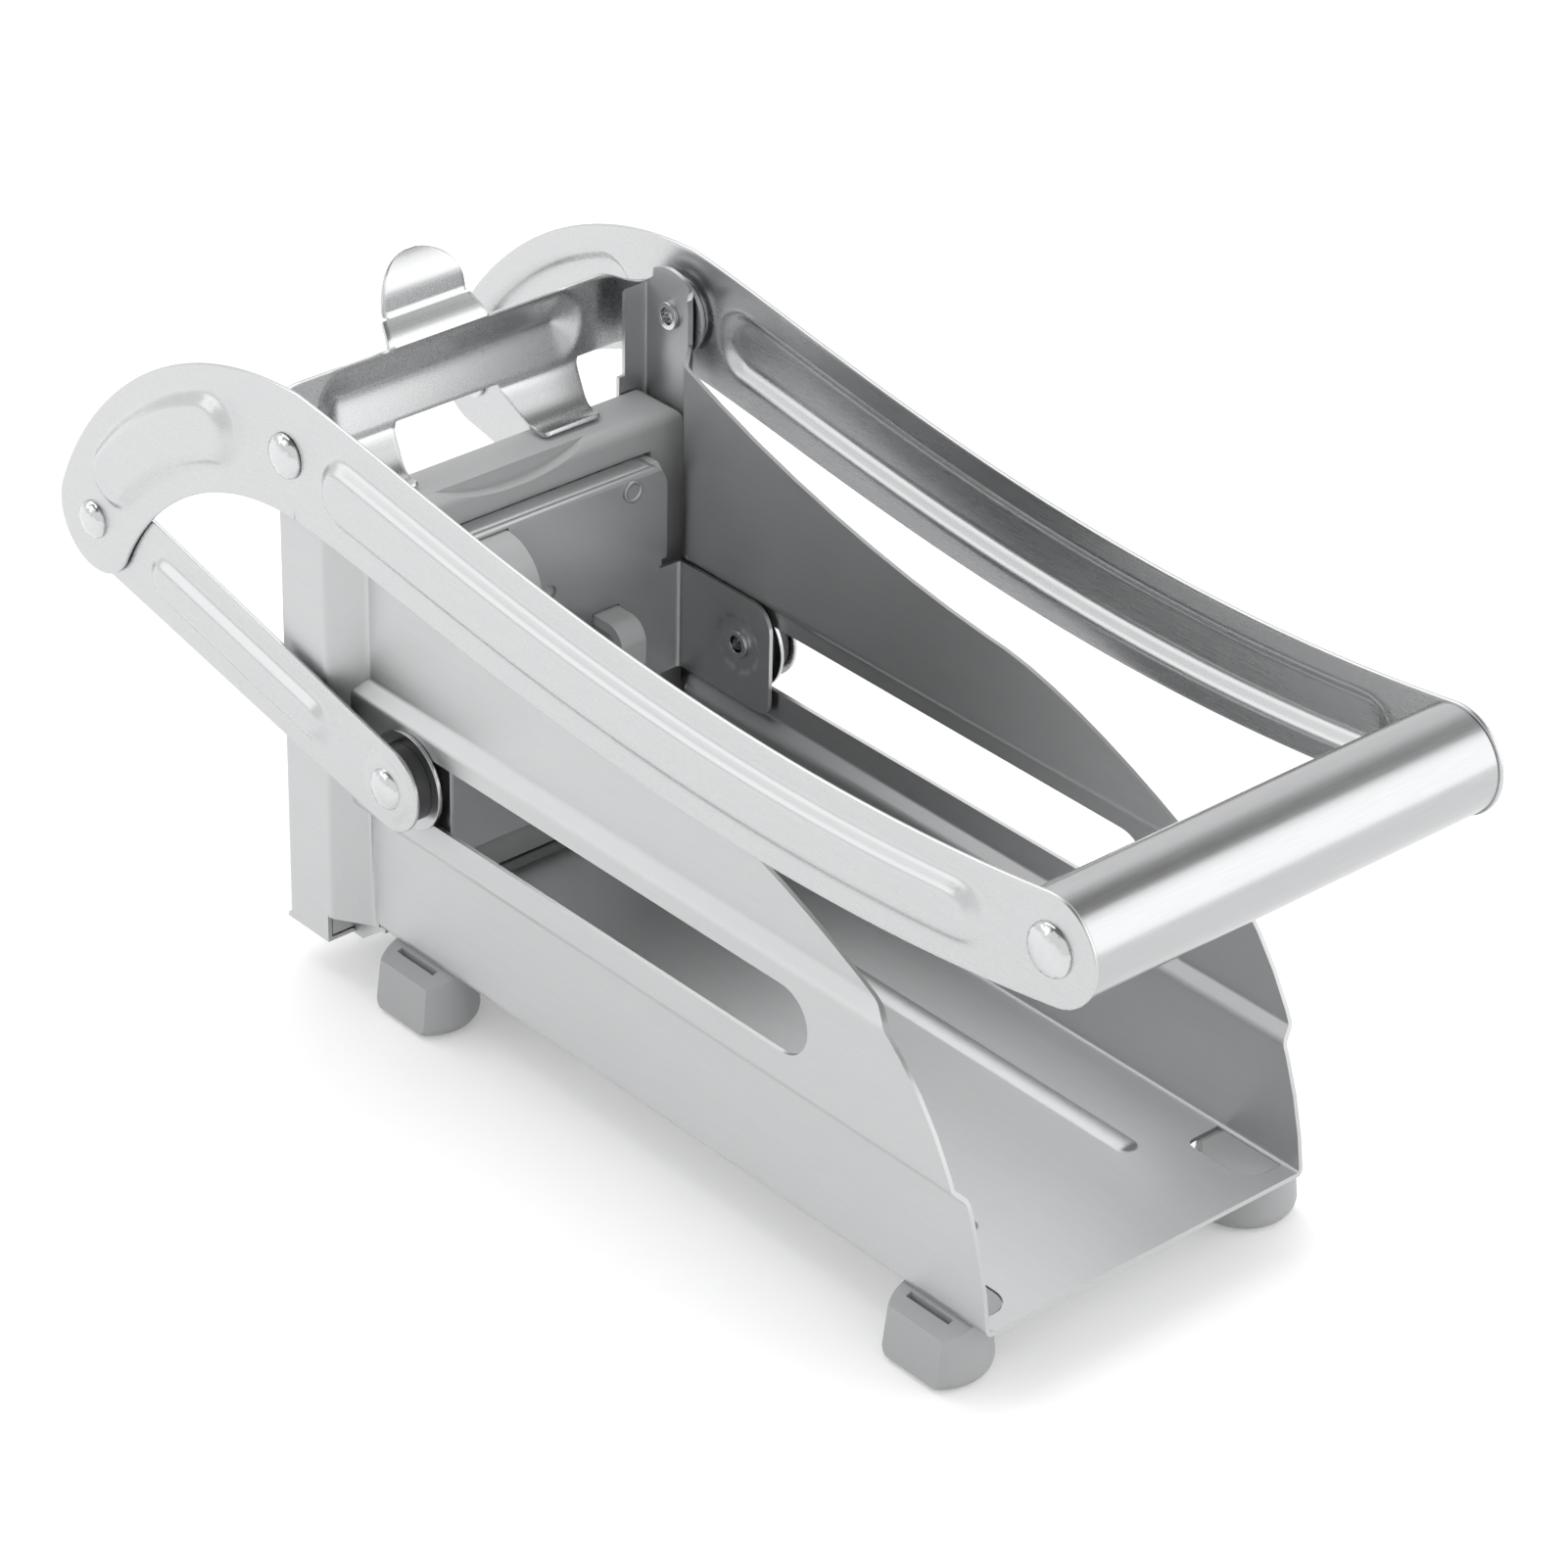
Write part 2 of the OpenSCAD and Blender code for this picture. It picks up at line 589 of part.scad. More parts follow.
module arm() color([0.8, 0.81, 0.82]) difference() {
    union() {
        ribbed_sheet(strip(arm_line, arm_half), [inward(tail_rib, rib_lap),
            inward(front_rib, rib_lap)], arm_in);
        rib_shell(tail_rib, tail_rib_half[0], arm_in, rib_rise);
        rib_shell(front_rib, front_rib_half[1], arm_in, rib_rise);
    }
    hole(pivot, bore_r, arm_in, arm_out);
    hole(link_pin, bore_r, arm_in, arm_out);
    hole(handle, bore_r, arm_in, arm_out);
}
module lever_arm_near() near_side() arm();
module lever_arm_far() far_side() arm();

tube_t = 1;
plug_len = 12;
module handle_tube() color([0.76, 0.77, 0.78]) near_side()
    ring_at(handle, handle_d / 2, handle_d / 2 - tube_t, -arm_in, arm_in);
module handle_plugs() color([0.3, 0.31, 0.32]) both_sides()
    ring_at(handle, handle_d / 2 - tube_t, bore_r, arm_in - plug_len, arm_in);
module handle_rivets() color([0.7, 0.71, 0.72]) both_sides() translate([handle[0], handle[1], 0]) {
    translate([0, 0, arm_out]) dome(handle_dome_d / 2, dome_h);
    translate([0, 0, arm_in - plug_len + over]) cylinder(r = shank_r, h = sheet_t + plug_len - over);
}
// link pins: dome on the arm, flat tail behind the link
link_tail_d = 6.4;
module link_rivets() color([0.7, 0.71, 0.72]) both_sides() translate([link_pin[0], link_pin[1], 0]) {
    translate([0, 0, arm_out]) dome(link_dome_d / 2, dome_h);
    translate([0, 0, link_in - slide_gap]) cylinder(r = shank_r, h = arm_out - link_in + slide_gap);
    translate([0, 0, link_in - slide_gap - sheet_t]) cylinder(d = link_tail_d, h = sheet_t);
}
pivot_washer_d = 13;
module pivot_washers() color([0.66, 0.67, 0.68]) both_sides()
    ring_at(pivot, pivot_washer_d / 2, bore_r, pivot_washer_in, arm_in);
module pivot_rivets() color([0.7, 0.71, 0.72]) both_sides()
    rivet(pivot, box_in, arm_out + slide_gap, pivot_dome_d, dome_h - slide_gap);

// links between the lever and the pusher
// rib of the link in shares of its length, and its half width
link_rib_shares = [0.245, 0.75];
link_rib_half = 4.9;
boss_d = 13;
boss_rise = 0.5;
link_rib = strip([for (k = [0 : 1]) lerp(link_pin, pusher_pin, link_rib_shares[k])],
    [link_rib_half, link_rib_half]);
module link() color([0.8, 0.81, 0.82]) difference() {
    union() {
        ribbed_sheet(strip([link_pin, pusher_pin], [link_half_rear, link_half_front]),
            [inward(link_rib, rib_lap)], link_in);
        rib_shell(link_rib, link_rib_half, link_in, link_rib_rise);
        translate([pusher_pin[0], pusher_pin[1], link_in + sheet_t / 2])
            cylinder(d1 = boss_d + boss_rise, d2 = boss_d - 2 * boss_rise, h = sheet_t / 2 + boss_rise);
    }
    translate([pusher_pin[0], pusher_pin[1], link_out])
        cylinder(d = pin_dome_d + 2 * boss_rise, h = boss_rise + over);
    hole(link_pin, bore_r, link_in, link_out);
    hole(pusher_pin, shank_r, link_in, link_out);
}
module link_cap() color([0.7, 0.71, 0.72]) translate([pusher_pin[0], pusher_pin[1], 0]) {
    translate([0, 0, link_out]) dome(pin_dome_d / 2, dome_h);
    translate([0, 0, link_in]) cylinder(r = shank_r, h = sheet_t);
}
module link_near() near_side() link();
module link_far() far_side() link();
module link_cap_near() near_side() link_cap();
module link_cap_far() far_side() link_cap();

// pusher: a folded plate with two ears, and the tooth block hooked behind it
plate_lift = 0.4;
plate_over = 0.2;
plate_z = window_z + plate_lift;
plate_top = window_top + plate_over;
plate_corner = 5;
plate_flange = 3.4;
ear_corner = 5;
ear_toe = 2.5;
relief_w = 1.8;
dish_d = 12.6;
dish_floor_d = 9.2;
dish_depth = 0.6;
// height of the ears inside the rail
ear_low_gap = 1.6;
ear_low = recess_low + ear_out - wall_in + ear_low_gap;
ear_high = recess_high - (ear_out - wall_in) - seat_gap;
ear_front = -pin_back + ear_past;
// locating hole in the plate, and a half pierced stop that stands forward of it
locate_y = 5.4;
locate_below = 17.5;
locate_d = 3.2;
stop_in = 8.3;
stop_below = 3.8;
stop_d = 3.4;
stop_rise = 0.4;

module ear_sheet() intersection() {
    translate([0, 0, ear_low]) linear_extrude(ear_high - ear_low) polygon(sheet_outline(
        soften([[ear_front, ear_out], [-plate_rear, ear_out],
            [-plate_rear, plate_w / 2 - relief_w]], bend_r), sheet_t));
    across(box_w) polygon(concat(
        [[-plate_rear - over, ear_low], [-plate_rear - over, ear_high]],
        arc([ear_front - ear_corner, ear_high - ear_corner], ear_corner, 90, 0, bend_steps * 2),
        arc([ear_front - ear_toe, ear_low + ear_toe], ear_toe, 0, -90, bend_steps)));
}

module dish(r_big, r_small, from) translate([pusher_pin[0], pusher_pin[1], from])
    cylinder(r1 = r_big, r2 = r_small, h = dish_depth);

module pusher_plate() color([0.72, 0.73, 0.74]) difference() {
    union() {
        intersection() {
            across(plate_w) polygon(sheet_outline(soften([[-plate_back - plate_flange - sheet_t,
                plate_top], [-plate_back, plate_top], [-plate_back, plate_z]], bend_r), -sheet_t));
            translate([-box_back, 0, 0]) rotate([90, 0, 90]) linear_extrude(box_back)
                polygon(concat([[-plate_w / 2, plate_z], [plate_w / 2, plate_z]],
                    arc([plate_w / 2 - plate_corner, plate_top - plate_corner], plate_corner, 0, 90,
                        bend_steps * 2),
                    arc([-plate_w / 2 + plate_corner, plate_top - plate_corner], plate_corner, 90,
                        180, bend_steps * 2)));
        }
        ear_sheet();
        mirror([0, 1, 0]) ear_sheet();
        both_sides() dish(dish_d / 2 + sheet_t / 4, dish_floor_d / 2 + sheet_t / 4, ear_out);
        translate([-plate_rear + sheet_t / 2, plate_w / 2 - stop_in, plate_top - stop_below])
            rotate([0, 90, 0]) cylinder(d = stop_d, h = sheet_t / 2 + stop_rise);
    }
    for (s = [-1, 1]) for (z = [ear_low - relief_w, ear_high])
        translate([-plate_rear - over, s * plate_w / 2 - relief_w, z])
            cube([sheet_t + 2 * over, 2 * relief_w, relief_w]);
    both_sides() {
        translate([0, 0, -dish_depth]) dish(dish_d / 2 + dish_depth, dish_d / 2 + dish_depth, ear_in - over);
        dish(dish_d / 2, dish_floor_d / 2, ear_in);
        hole(pusher_pin, shank_r, ear_in, ear_out + dish_depth);
    }
    translate([-plate_rear - over, locate_y, plate_top - locate_below]) rotate([0, 90, 0])
        cylinder(d = locate_d, h = sheet_t + 2 * over);
    translate([-plate_rear - over, plate_w / 2 - stop_in, plate_top - stop_below])
        rotate([0, 90, 0]) cylinder(d = stop_d, h = over + stop_rise);
    for (h = hooks) translate([-plate_rear - over, h[0] - seat_gap,
        plate_top - h[2] - hook_t - seat_gap])
        cube([sheet_t + 2 * over, h[1] + 2 * seat_gap, hook_t + 2 * seat_gap]);
}

// tooth block: a base plate with one tooth for each cell, and two hooks through the plate
cell_w = window_w / cells_across;
cell_h = window_h / cells_up;
block_edge = 0.7;
block_cut = 1.2;
tooth_past = 0.6;
tooth_l = cassette_t + rest_gap + tooth_past;
hook_t = 2;
// narrow hook: near edge, width, depth below the plate's top, reach, corner and length down
tab_y = 15.5;
tab_hook_w = 5.5;
tab_below = 25.3;
tab_reach = 7.8;
tab_round = 4;
tab_drop = 10;
// wide lug, in the same order
lug_y = -15;
lug_w = 11;
lug_below = 1.6;
lug_reach = 9.6;
lug_round = 9.2;
lug_drop = 12;
hooks = [[tab_y, tab_hook_w, tab_below, tab_reach, tab_round, tab_drop],
    [lug_y, lug_w, lug_below, lug_reach, lug_round, lug_drop]];

module hook(h) {
    top = plate_top - h[2];
    tip = -plate_back + h[3];
    translate([0, h[0] + h[1], 0]) rotate([90, 0, 0]) linear_extrude(h[1])
        polygon(sheet_outline(concat([[-plate_rear - block_t / 2, top]],
            arc([tip - h[4], top - h[4]], h[4], 90, 0, bend_steps * 3), [[tip, top - h[5]]]), -hook_t));
}

module tooth_block() color([0.6, 0.61, 0.62]) {
    // its top edge is cut to clear the bend of the plate
    across(window_w - 2 * block_edge) polygon([[-plate_rear, window_z + block_edge],
        [-plate_rear, window_top - block_edge - block_cut],
        [-plate_rear - block_cut, window_top - block_edge],
        [-plate_rear - block_t, window_top - block_edge],
        [-plate_rear - block_t, window_z + block_edge]]);
    for (i = [0 : cells_across - 1]) for (j = [0 : cells_up - 1]) translate([
        -plate_rear - block_t - tooth_l, -window_w / 2 + i * cell_w + blade_t / 2 + tooth_gap,
        window_z + j * cell_h + blade_t / 2 + tooth_gap])
        cube([tooth_l + block_t / 2, cell_w - blade_t - 2 * tooth_gap,
            cell_h - blade_t - 2 * tooth_gap]);
    for (h = hooks) hook(h);
}

bush_gap = 0.2;
slot_washer_lap = 2.6;
slot_washer_d = slot_h + 2 * slot_washer_lap;
spacer_d = 14;
module pusher_pins() color([0.7, 0.71, 0.72]) both_sides() translate([pusher_pin[0], slot_z, 0])
    difference() {
        union() {
            translate([0, 0, ear_in + dish_depth - tail_rim_t])
                cylinder(r = shank_r + tail_rim, h = tail_rim_t);
            translate([0, 0, ear_in + dish_depth]) cylinder(r = shank_r, h = pin_end - ear_in - dish_depth);
        }
        translate([0, 0, ear_in + dish_depth - tail_rim_t - over])
            cylinder(r = tail_bore_r, h = tail_rim_t + 3 * over);
    }
module slot_bushes() color([0.66, 0.67, 0.68]) both_sides()
    ring_at(pusher_pin, slot_h / 2 - bush_gap, shank_r + play / 2, ear_out + dish_depth, slot_washer_in);
module slot_washers() color([0.66, 0.67, 0.68]) both_sides()
    ring_at(pusher_pin, slot_washer_d / 2, shank_r + play / 2, slot_washer_in, slot_washer_out);
module slot_spacers() color([0.4, 0.41, 0.42]) both_sides()
    ring_at(pusher_pin, spacer_d / 2, shank_r + play / 2, slot_washer_out, pin_end);

// cassette: a frame with two sets of strips that lap each other
cassette_half = box_in - seat_gap;
cassette_corner = 3;
cassette_edge = 2.5;
blade_seat = 2.4;
blade_front = cassette_front + (cassette_t - blade_l) / 2;
// finger scoop in the front of the top edge
scoop_mid = 2.5;
scoop_half = 16.5;
scoop_deep = 3.2;

module cassette_frame() color([0.66, 0.67, 0.68]) difference() {
    intersection() {
        translate([-cassette_back, 0, 0]) rotate([90, 0, 90]) linear_extrude(cassette_t)
            polygon(concat([[-cassette_half, cassette_low], [cassette_half, cassette_low]],
                arc([cassette_half - cassette_corner, cassette_top - cassette_corner],
                    cassette_corner, 0, 90, bend_steps * 2),
                arc([-cassette_half + cassette_corner, cassette_top - cassette_corner],
                    cassette_corner, 90, 180, bend_steps * 2)));
        across(box_w) polygon(concat([[-cassette_back, cassette_low - over],
            [-cassette_front, cassette_low - over]],
            arc([-cassette_front - cassette_edge, cassette_top - cassette_edge], cassette_edge, 0,
                90, bend_steps * 2), [[-cassette_back, cassette_top]]));
    }
    translate([-cassette_back - over, -window_w / 2, window_z])
        cube([cassette_t + 2 * over, window_w, window_h]);
    scoop();
    upright_strips(play);
    level_strips(play);
}
module scoop() {
    r = (scoop_half * scoop_half + scoop_deep * scoop_deep) / (2 * scoop_deep);
    translate([-cassette_front - cassette_edge, scoop_mid, cassette_top + r - scoop_deep])
        rotate([0, 90, 0]) cylinder(r = r, h = cassette_edge + over);
}
module upright_strips(grow) for (i = [1 : cells_across - 1])
    translate([-blade_front - blade_l, -window_w / 2 + i * cell_w - blade_t / 2 - grow,
        window_z - blade_seat - grow])
        cube([blade_l + grow, blade_t + 2 * grow, window_h + 2 * (blade_seat + grow)]);
module level_strips(grow) for (j = [1 : cells_up - 1])
    translate([-blade_front - blade_l, -window_w / 2 - blade_seat - grow,
        window_z + j * cell_h - blade_t / 2 - grow])
        cube([blade_l + grow, window_w + 2 * (blade_seat + grow), blade_t + 2 * grow]);
// half laps: upright strips are slotted from the rear, level strips from the front
module lap(front) translate([-blade_front - (front ? blade_l / 2 : blade_l + over), -window_w,
    -window_z]) cube([blade_l / 2 + over, 2 * window_w, 2 * window_h]);
module blades_upright() color([0.85, 0.86, 0.87]) difference() {
    upright_strips(0);
    intersection() {
        level_strips(play);
        lap(false);
    }
}
module blades_level() color([0.85, 0.86, 0.87]) difference() {
    level_strips(0);
    intersection() {
        upright_strips(play);
        lap(true);
    }
}

// clip that holds the cassette down, hinged on the pivot rivets
bar_low = pivot_z - bar_drop;
bar_high = bar_low + bar_h;
clip_bend_r = 5.6;
clip_ear_r = 7.5;
bar_bead_in = 13.4;
bar_bead_half = clip_out - bar_bead_in;
bar_bead_deep = 2.3;
bar_bead_end = 6;
bar_bead_margin = 2.2;
// legs that press on the cassette
leg_in = 11.25;
leg_out = 29.25;
leg_tip_in = 13.25;
leg_tip_out = 25.75;
legs_off = 1.25;
leg_tip_back = 4.8;
leg_sole = 4;
// thumb tab: fold and apex, behind the bar's front face and above the bar
tab_fold = [4.1, 3.5];
tab_apex = [11, 13.2];
notch = 1.2;

// wedge with sloping ends that fills or hollows the bar's bead
module bead_wedge(inset, past) {
    half = bar_bead_half - 2 * inset;
    low = bar_low + bar_bead_margin + inset / 2;
    high = bar_high - bar_bead_margin - inset / 2;
    mid = (low + high) / 2;
    x0 = -bar_front + past;
    x1 = -bar_front - bar_bead_deep - sheet_t + inset;
    ridge = half - bar_bead_end;
    polyhedron([[x0, -half, low], [x0, half, low], [x0, half, high], [x0, -half, high],
        [x1, -ridge, mid], [x1, ridge, mid]],
        [[3, 2, 1, 0], [0, 1, 5, 4], [1, 2, 5], [2, 3, 4, 5], [3, 0, 4]]);
}

module clip_strap() intersection() {
    translate([0, 0, bar_low - over]) linear_extrude(bar_h + clip_ear_r)
        polygon(sheet_outline(soften([[-pivot_back + clip_ear_r, -clip_out],
            [-bar_front - sheet_t, -clip_out], [-bar_front - sheet_t, clip_out],
            [-pivot_back + clip_ear_r, clip_out]], clip_bend_r), -sheet_t));
    across(box_w * 2) polygon(concat([[-bar_front - over, bar_high], [-bar_front - over, bar_low],
        [-bar_front + clip_bend_r, bar_low]],
        arc(pivot, clip_ear_r, -90, 90, cap_steps * 2), [[-bar_front + clip_bend_r, bar_high]]));
}

module clip_legs() translate([0, -legs_off, 0]) for (s = [0, 1]) mirror([0, s, 0]) intersection() {
    sole_z = cassette_top + seat_gap + sheet_t;
    across(box_w) polygon(sheet_outline(soften([[-bar_front, bar_low + bar_bead_margin],
        [-bar_front, bar_low], [-cassette_front - leg_tip_back - leg_sole, sole_z],
        [-cassette_front - leg_tip_back, sole_z]], bend_r), -sheet_t));
    translate([-bar_front - over, 0, 0]) rotate([90, 0, 90]) linear_extrude(2 * cassette_t)
        polygon([[leg_in, bar_high], [leg_in, bar_low], [leg_tip_in, cassette_top],
            [leg_tip_out, cassette_top], [leg_out, bar_low], [leg_out, bar_high]]);
}

module thumb_tab() {
    slope = norm(tab_apex - tab_fold);
    rise = (tab_apex[1] - tab_fold[1]) / slope;
    crown_z = bar_high + tab_apex[1] - rise * tab_w / 2;
    fold_z = bar_high + tab_fold[1];
    intersection() {
        across(box_w) polygon(sheet_outline(soften([[-bar_front, bar_high - bar_bead_margin],
            [-bar_front, bar_high], [-bar_front - tab_fold[0], fold_z],
            [-bar_front - tab_apex[0], bar_high + tab_apex[1]]], bend_r), sheet_t));
        translate([-bar_front - tab_apex[0] - over, -tab_off, 0]) rotate([90, 0, 90])
            linear_extrude(2 * tab_apex[0])
            polygon(concat([[-tab_root_w / 2, bar_low], [tab_root_w / 2, bar_low],
                [tab_root_w / 2, bar_high], [tab_w / 2 + notch, fold_z], [tab_w / 2 - notch, fold_z],
                [tab_w / 2, fold_z + notch]],
                [for (a = [0 : 15 : 180]) [cos(a) * tab_w / 2, crown_z + rise * sin(a) * tab_w / 2]],
                [[-tab_w / 2, fold_z + notch], [-tab_w / 2 + notch, fold_z],
                    [-tab_w / 2 - notch, fold_z], [-tab_root_w / 2, bar_high]]));
    }
}

module blade_clip() color([0.74, 0.75, 0.76]) difference() {
    union() {
        clip_strap();
        bead_wedge(0, -sheet_t / 2);
        clip_legs();
        thumb_tab();
    }
    bead_wedge(sheet_t, over / 10);
    both_sides() hole(pivot, bore_r, clip_in, clip_out);
}

// every part in its place
translate([shift_x, 0, foot_h]) {
    body_channel();
    foot_front_near();
    foot_front_far();
    foot_rear_near();
    foot_rear_far();
    pivot_rivets();
    cassette_frame();
    blades_upright();
    blades_level();
    lever_arm_near();
    lever_arm_far();
    handle_tube();
    handle_plugs();
    handle_rivets();
    link_rivets();
    pivot_washers();
    link_near();
    link_cap_near();
    link_far();
    link_cap_far();
    pusher_plate();
    tooth_block();
    pusher_pins();
    slot_bushes();
    slot_washers();
    slot_spacers();
    blade_clip();
}
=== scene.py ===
import json
import math

import bpy
import numpy as np
from mathutils import Matrix, Vector


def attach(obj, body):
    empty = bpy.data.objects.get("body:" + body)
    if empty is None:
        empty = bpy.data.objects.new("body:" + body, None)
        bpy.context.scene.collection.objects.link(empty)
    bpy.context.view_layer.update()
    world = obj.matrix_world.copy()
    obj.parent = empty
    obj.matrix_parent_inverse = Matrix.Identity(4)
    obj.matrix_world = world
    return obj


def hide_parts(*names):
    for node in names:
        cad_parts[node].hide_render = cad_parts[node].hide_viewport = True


# A lever chip cutter. The frame's solids get eased edges and finishes; its arms, links and clip are remade as
# pressed sheet. Lengths are in metres, or in millimetres where they are multiplied by MM.

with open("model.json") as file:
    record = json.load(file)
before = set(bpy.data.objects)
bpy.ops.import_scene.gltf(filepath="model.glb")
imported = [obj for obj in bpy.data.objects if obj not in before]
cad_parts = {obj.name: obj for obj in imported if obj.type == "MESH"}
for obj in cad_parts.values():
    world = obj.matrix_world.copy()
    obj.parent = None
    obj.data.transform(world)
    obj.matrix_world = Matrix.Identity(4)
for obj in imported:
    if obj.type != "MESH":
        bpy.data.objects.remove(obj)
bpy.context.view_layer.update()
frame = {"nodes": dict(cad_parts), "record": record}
nodes = frame["nodes"]
scene = bpy.context.scene
MM = 0.001

# shader groups that several finishes share


def link_chain(tree, *pairs):
    """Joins sockets two by two."""
    for source, target in pairs:
        tree.links.new(source, target)


def new_group(name, inputs, outputs):
    """An empty shader group with named sockets; returns its tree and its two end nodes."""
    tree = bpy.data.node_groups.new(name, "ShaderNodeTree")
    for label, kind, value in inputs:
        socket = tree.interface.new_socket(label, in_out="INPUT", socket_type=kind)
        if value is not None:
            socket.default_value = value
    for label, kind in outputs:
        tree.interface.new_socket(label, in_out="OUTPUT", socket_type=kind)
    return tree, tree.nodes.new("NodeGroupInput"), tree.nodes.new("NodeGroupOutput")


def noise(tree, vector, scale, detail=2.0, roughness=0.5):
    """A noise texture on a vector socket; returns its value socket."""
    node = tree.nodes.new("ShaderNodeTexNoise")
    node.inputs["Detail"].default_value = detail
    node.inputs["Roughness"].default_value = roughness
    tree.links.new(vector, node.inputs["Vector"])
    if isinstance(scale, (int, float)):
        node.inputs["Scale"].default_value = scale
    else:
        tree.links.new(scale, node.inputs["Scale"])
    return node.outputs["Fac"]


def remap(tree, value, low, high, to_low, to_high):
    """Maps a value from one range to another, clamped."""
    node = tree.nodes.new("ShaderNodeMapRange")
    for label, number in (("From Min", low), ("From Max", high), ("To Min", to_low), ("To Max", to_high)):
        node.inputs[label].default_value = number
    tree.links.new(value, node.inputs["Value"])
    return node.outputs["Result"]


def maths(tree, operation, a, b):
    """One sum of two sockets or numbers."""
    node = tree.nodes.new("ShaderNodeMath")
    node.operation = operation
    for k, value in enumerate((a, b)):
        if isinstance(value, (int, float)):
            node.inputs[k].default_value = value
        else:
            tree.links.new(value, node.inputs[k])
    return node.outputs[0]


def build_brushing():
    """Fine parallel scratches of a brushed sheet, with some broader ones among them."""
    tree, start, end = new_group("brushing", [
        ("Along", "NodeSocketVector", None), ("Scratch Size", "NodeSocketFloat", 1.0)],
        [("Tone", "NodeSocketFloat"), ("Gloss", "NodeSocketFloat"), ("Height", "NodeSocketFloat")])
    fine = noise(tree, start.outputs["Along"], start.outputs["Scratch Size"], 3.0, 0.6)
    coarse_size = maths(tree, "MULTIPLY", start.outputs["Scratch Size"], 0.3)
    coarse = noise(tree, start.outputs["Along"], coarse_size, 1.0, 0.5)
    mixed = maths(tree, "ADD", maths(tree, "MULTIPLY", fine, 0.75), maths(tree, "MULTIPLY", coarse, 0.25))
    tone = remap(tree, mixed, 0.3, 0.7, 0.0, 1.0)
    gloss = remap(tree, mixed, 0.3, 0.7, -0.5, 0.5)
    link_chain(tree, (tone, end.inputs["Tone"]), (gloss, end.inputs["Gloss"]), (mixed, end.inputs["Height"]))
    return tree


def build_handling():
    """Smudges and faint random scratches from use, as a mask."""
    tree, start, end = new_group("handling marks", [
        ("Place", "NodeSocketVector", None), ("Amount", "NodeSocketFloat", 0.5)],
        [("Mask", "NodeSocketFloat")])
    blotch = noise(tree, start.outputs["Place"], 38.0, 4.0, 0.6)
    speck = noise(tree, start.outputs["Place"], 420.0, 2.0, 0.5)
    mask = maths(tree, "ADD", remap(tree, blotch, 0.45, 0.75, 0.0, 0.7), remap(tree, speck, 0.62, 0.75, 0.0, 0.5))
    link_chain(tree, (maths(tree, "MULTIPLY", mask, start.outputs["Amount"]), end.inputs["Mask"]))
    return tree


BRUSHING = build_brushing()
HANDLING = build_handling()


def place_group(tree, group, vector, **values):
    """Puts a shader group into a material and gives it its place and its own values."""
    node = tree.nodes.new("ShaderNodeGroup")
    node.node_tree = group
    tree.links.new(vector, node.inputs[0])
    for label, value in values.items():
        node.inputs[label.replace("_", " ")].default_value = value
    return node


def object_place(tree, stretch=(1, 1, 1)):
    """Object coordinates, squeezed along the brushing so that its scratches run long."""
    coords = tree.nodes.new("ShaderNodeTexCoord")
    mapping = tree.nodes.new("ShaderNodeMapping")
    mapping.inputs["Scale"].default_value = stretch
    tree.links.new(coords.outputs["Object"], mapping.inputs["Vector"])
    return mapping.outputs["Vector"]


def mixed_colour(tree, factor, dark, light):
    """A colour between two, by a value."""
    node = tree.nodes.new("ShaderNodeMix")
    node.data_type = "RGBA"
    tree.links.new(factor, node.inputs["Factor"])
    node.inputs["A"].default_value = (*dark, 1)
    node.inputs["B"].default_value = (*light, 1)
    return node.outputs["Result"]


def across_grain(tree, grain):
    """The way that a brushed highlight spreads: square to the face and to the direction of its scratches."""
    turned = tree.nodes.new("ShaderNodeVectorTransform")
    turned.vector_type = "VECTOR"
    turned.convert_from, turned.convert_to = "OBJECT", "WORLD"
    turned.inputs["Vector"].default_value = grain
    square = tree.nodes.new("ShaderNodeVectorMath")
    square.operation = "CROSS_PRODUCT"
    tree.links.new(tree.nodes.new("ShaderNodeNewGeometry").outputs["Normal"], square.inputs[0])
    tree.links.new(turned.outputs["Vector"], square.inputs[1])
    return square.outputs["Vector"]


CHANNEL_GRAIN = (1, 0, 0.08)
SCRATCH_RELIEF, SMUDGES, SMUDGE_DULLS = 0.0002, 0.4, 0.08


def cool_grey(level):
    """A neutral grey with a trace of blue."""
    return level, level + 0.005, level + 0.01


def brushed_steel(name, dark, light, rough, spread, stretch, scratch, depth, drawn=0.0):
    """Brushed stainless sheet: scratches in colour, gloss and relief, with smudges over them."""
    material = bpy.data.materials.new(name)
    material.use_nodes = True
    tree = material.node_tree
    shader = tree.nodes["Principled BSDF"]
    shader.inputs["Metallic"].default_value = 1.0
    if drawn:
        shader.inputs["Anisotropic"].default_value = drawn
        tree.links.new(across_grain(tree, CHANNEL_GRAIN), shader.inputs["Tangent"])
    grain = place_group(tree, BRUSHING, object_place(tree, stretch), Scratch_Size=scratch)
    marks = place_group(tree, HANDLING, object_place(tree), Amount=SMUDGES)
    tree.links.new(mixed_colour(tree, grain.outputs["Tone"], dark, light), shader.inputs["Base Color"])
    gloss = maths(tree, "ADD", remap(tree, grain.outputs["Gloss"], -0.6, 0.6, rough - spread, rough + spread),
                  maths(tree, "MULTIPLY", marks.outputs["Mask"], SMUDGE_DULLS))
    tree.links.new(gloss, shader.inputs["Roughness"])
    bump = tree.nodes.new("ShaderNodeBump")
    bump.inputs["Strength"].default_value = depth
    bump.inputs["Distance"].default_value = SCRATCH_RELIEF
    tree.links.new(grain.outputs["Height"], bump.inputs["Height"])
    tree.links.new(bump.outputs["Normal"], shader.inputs["Normal"])
    return material


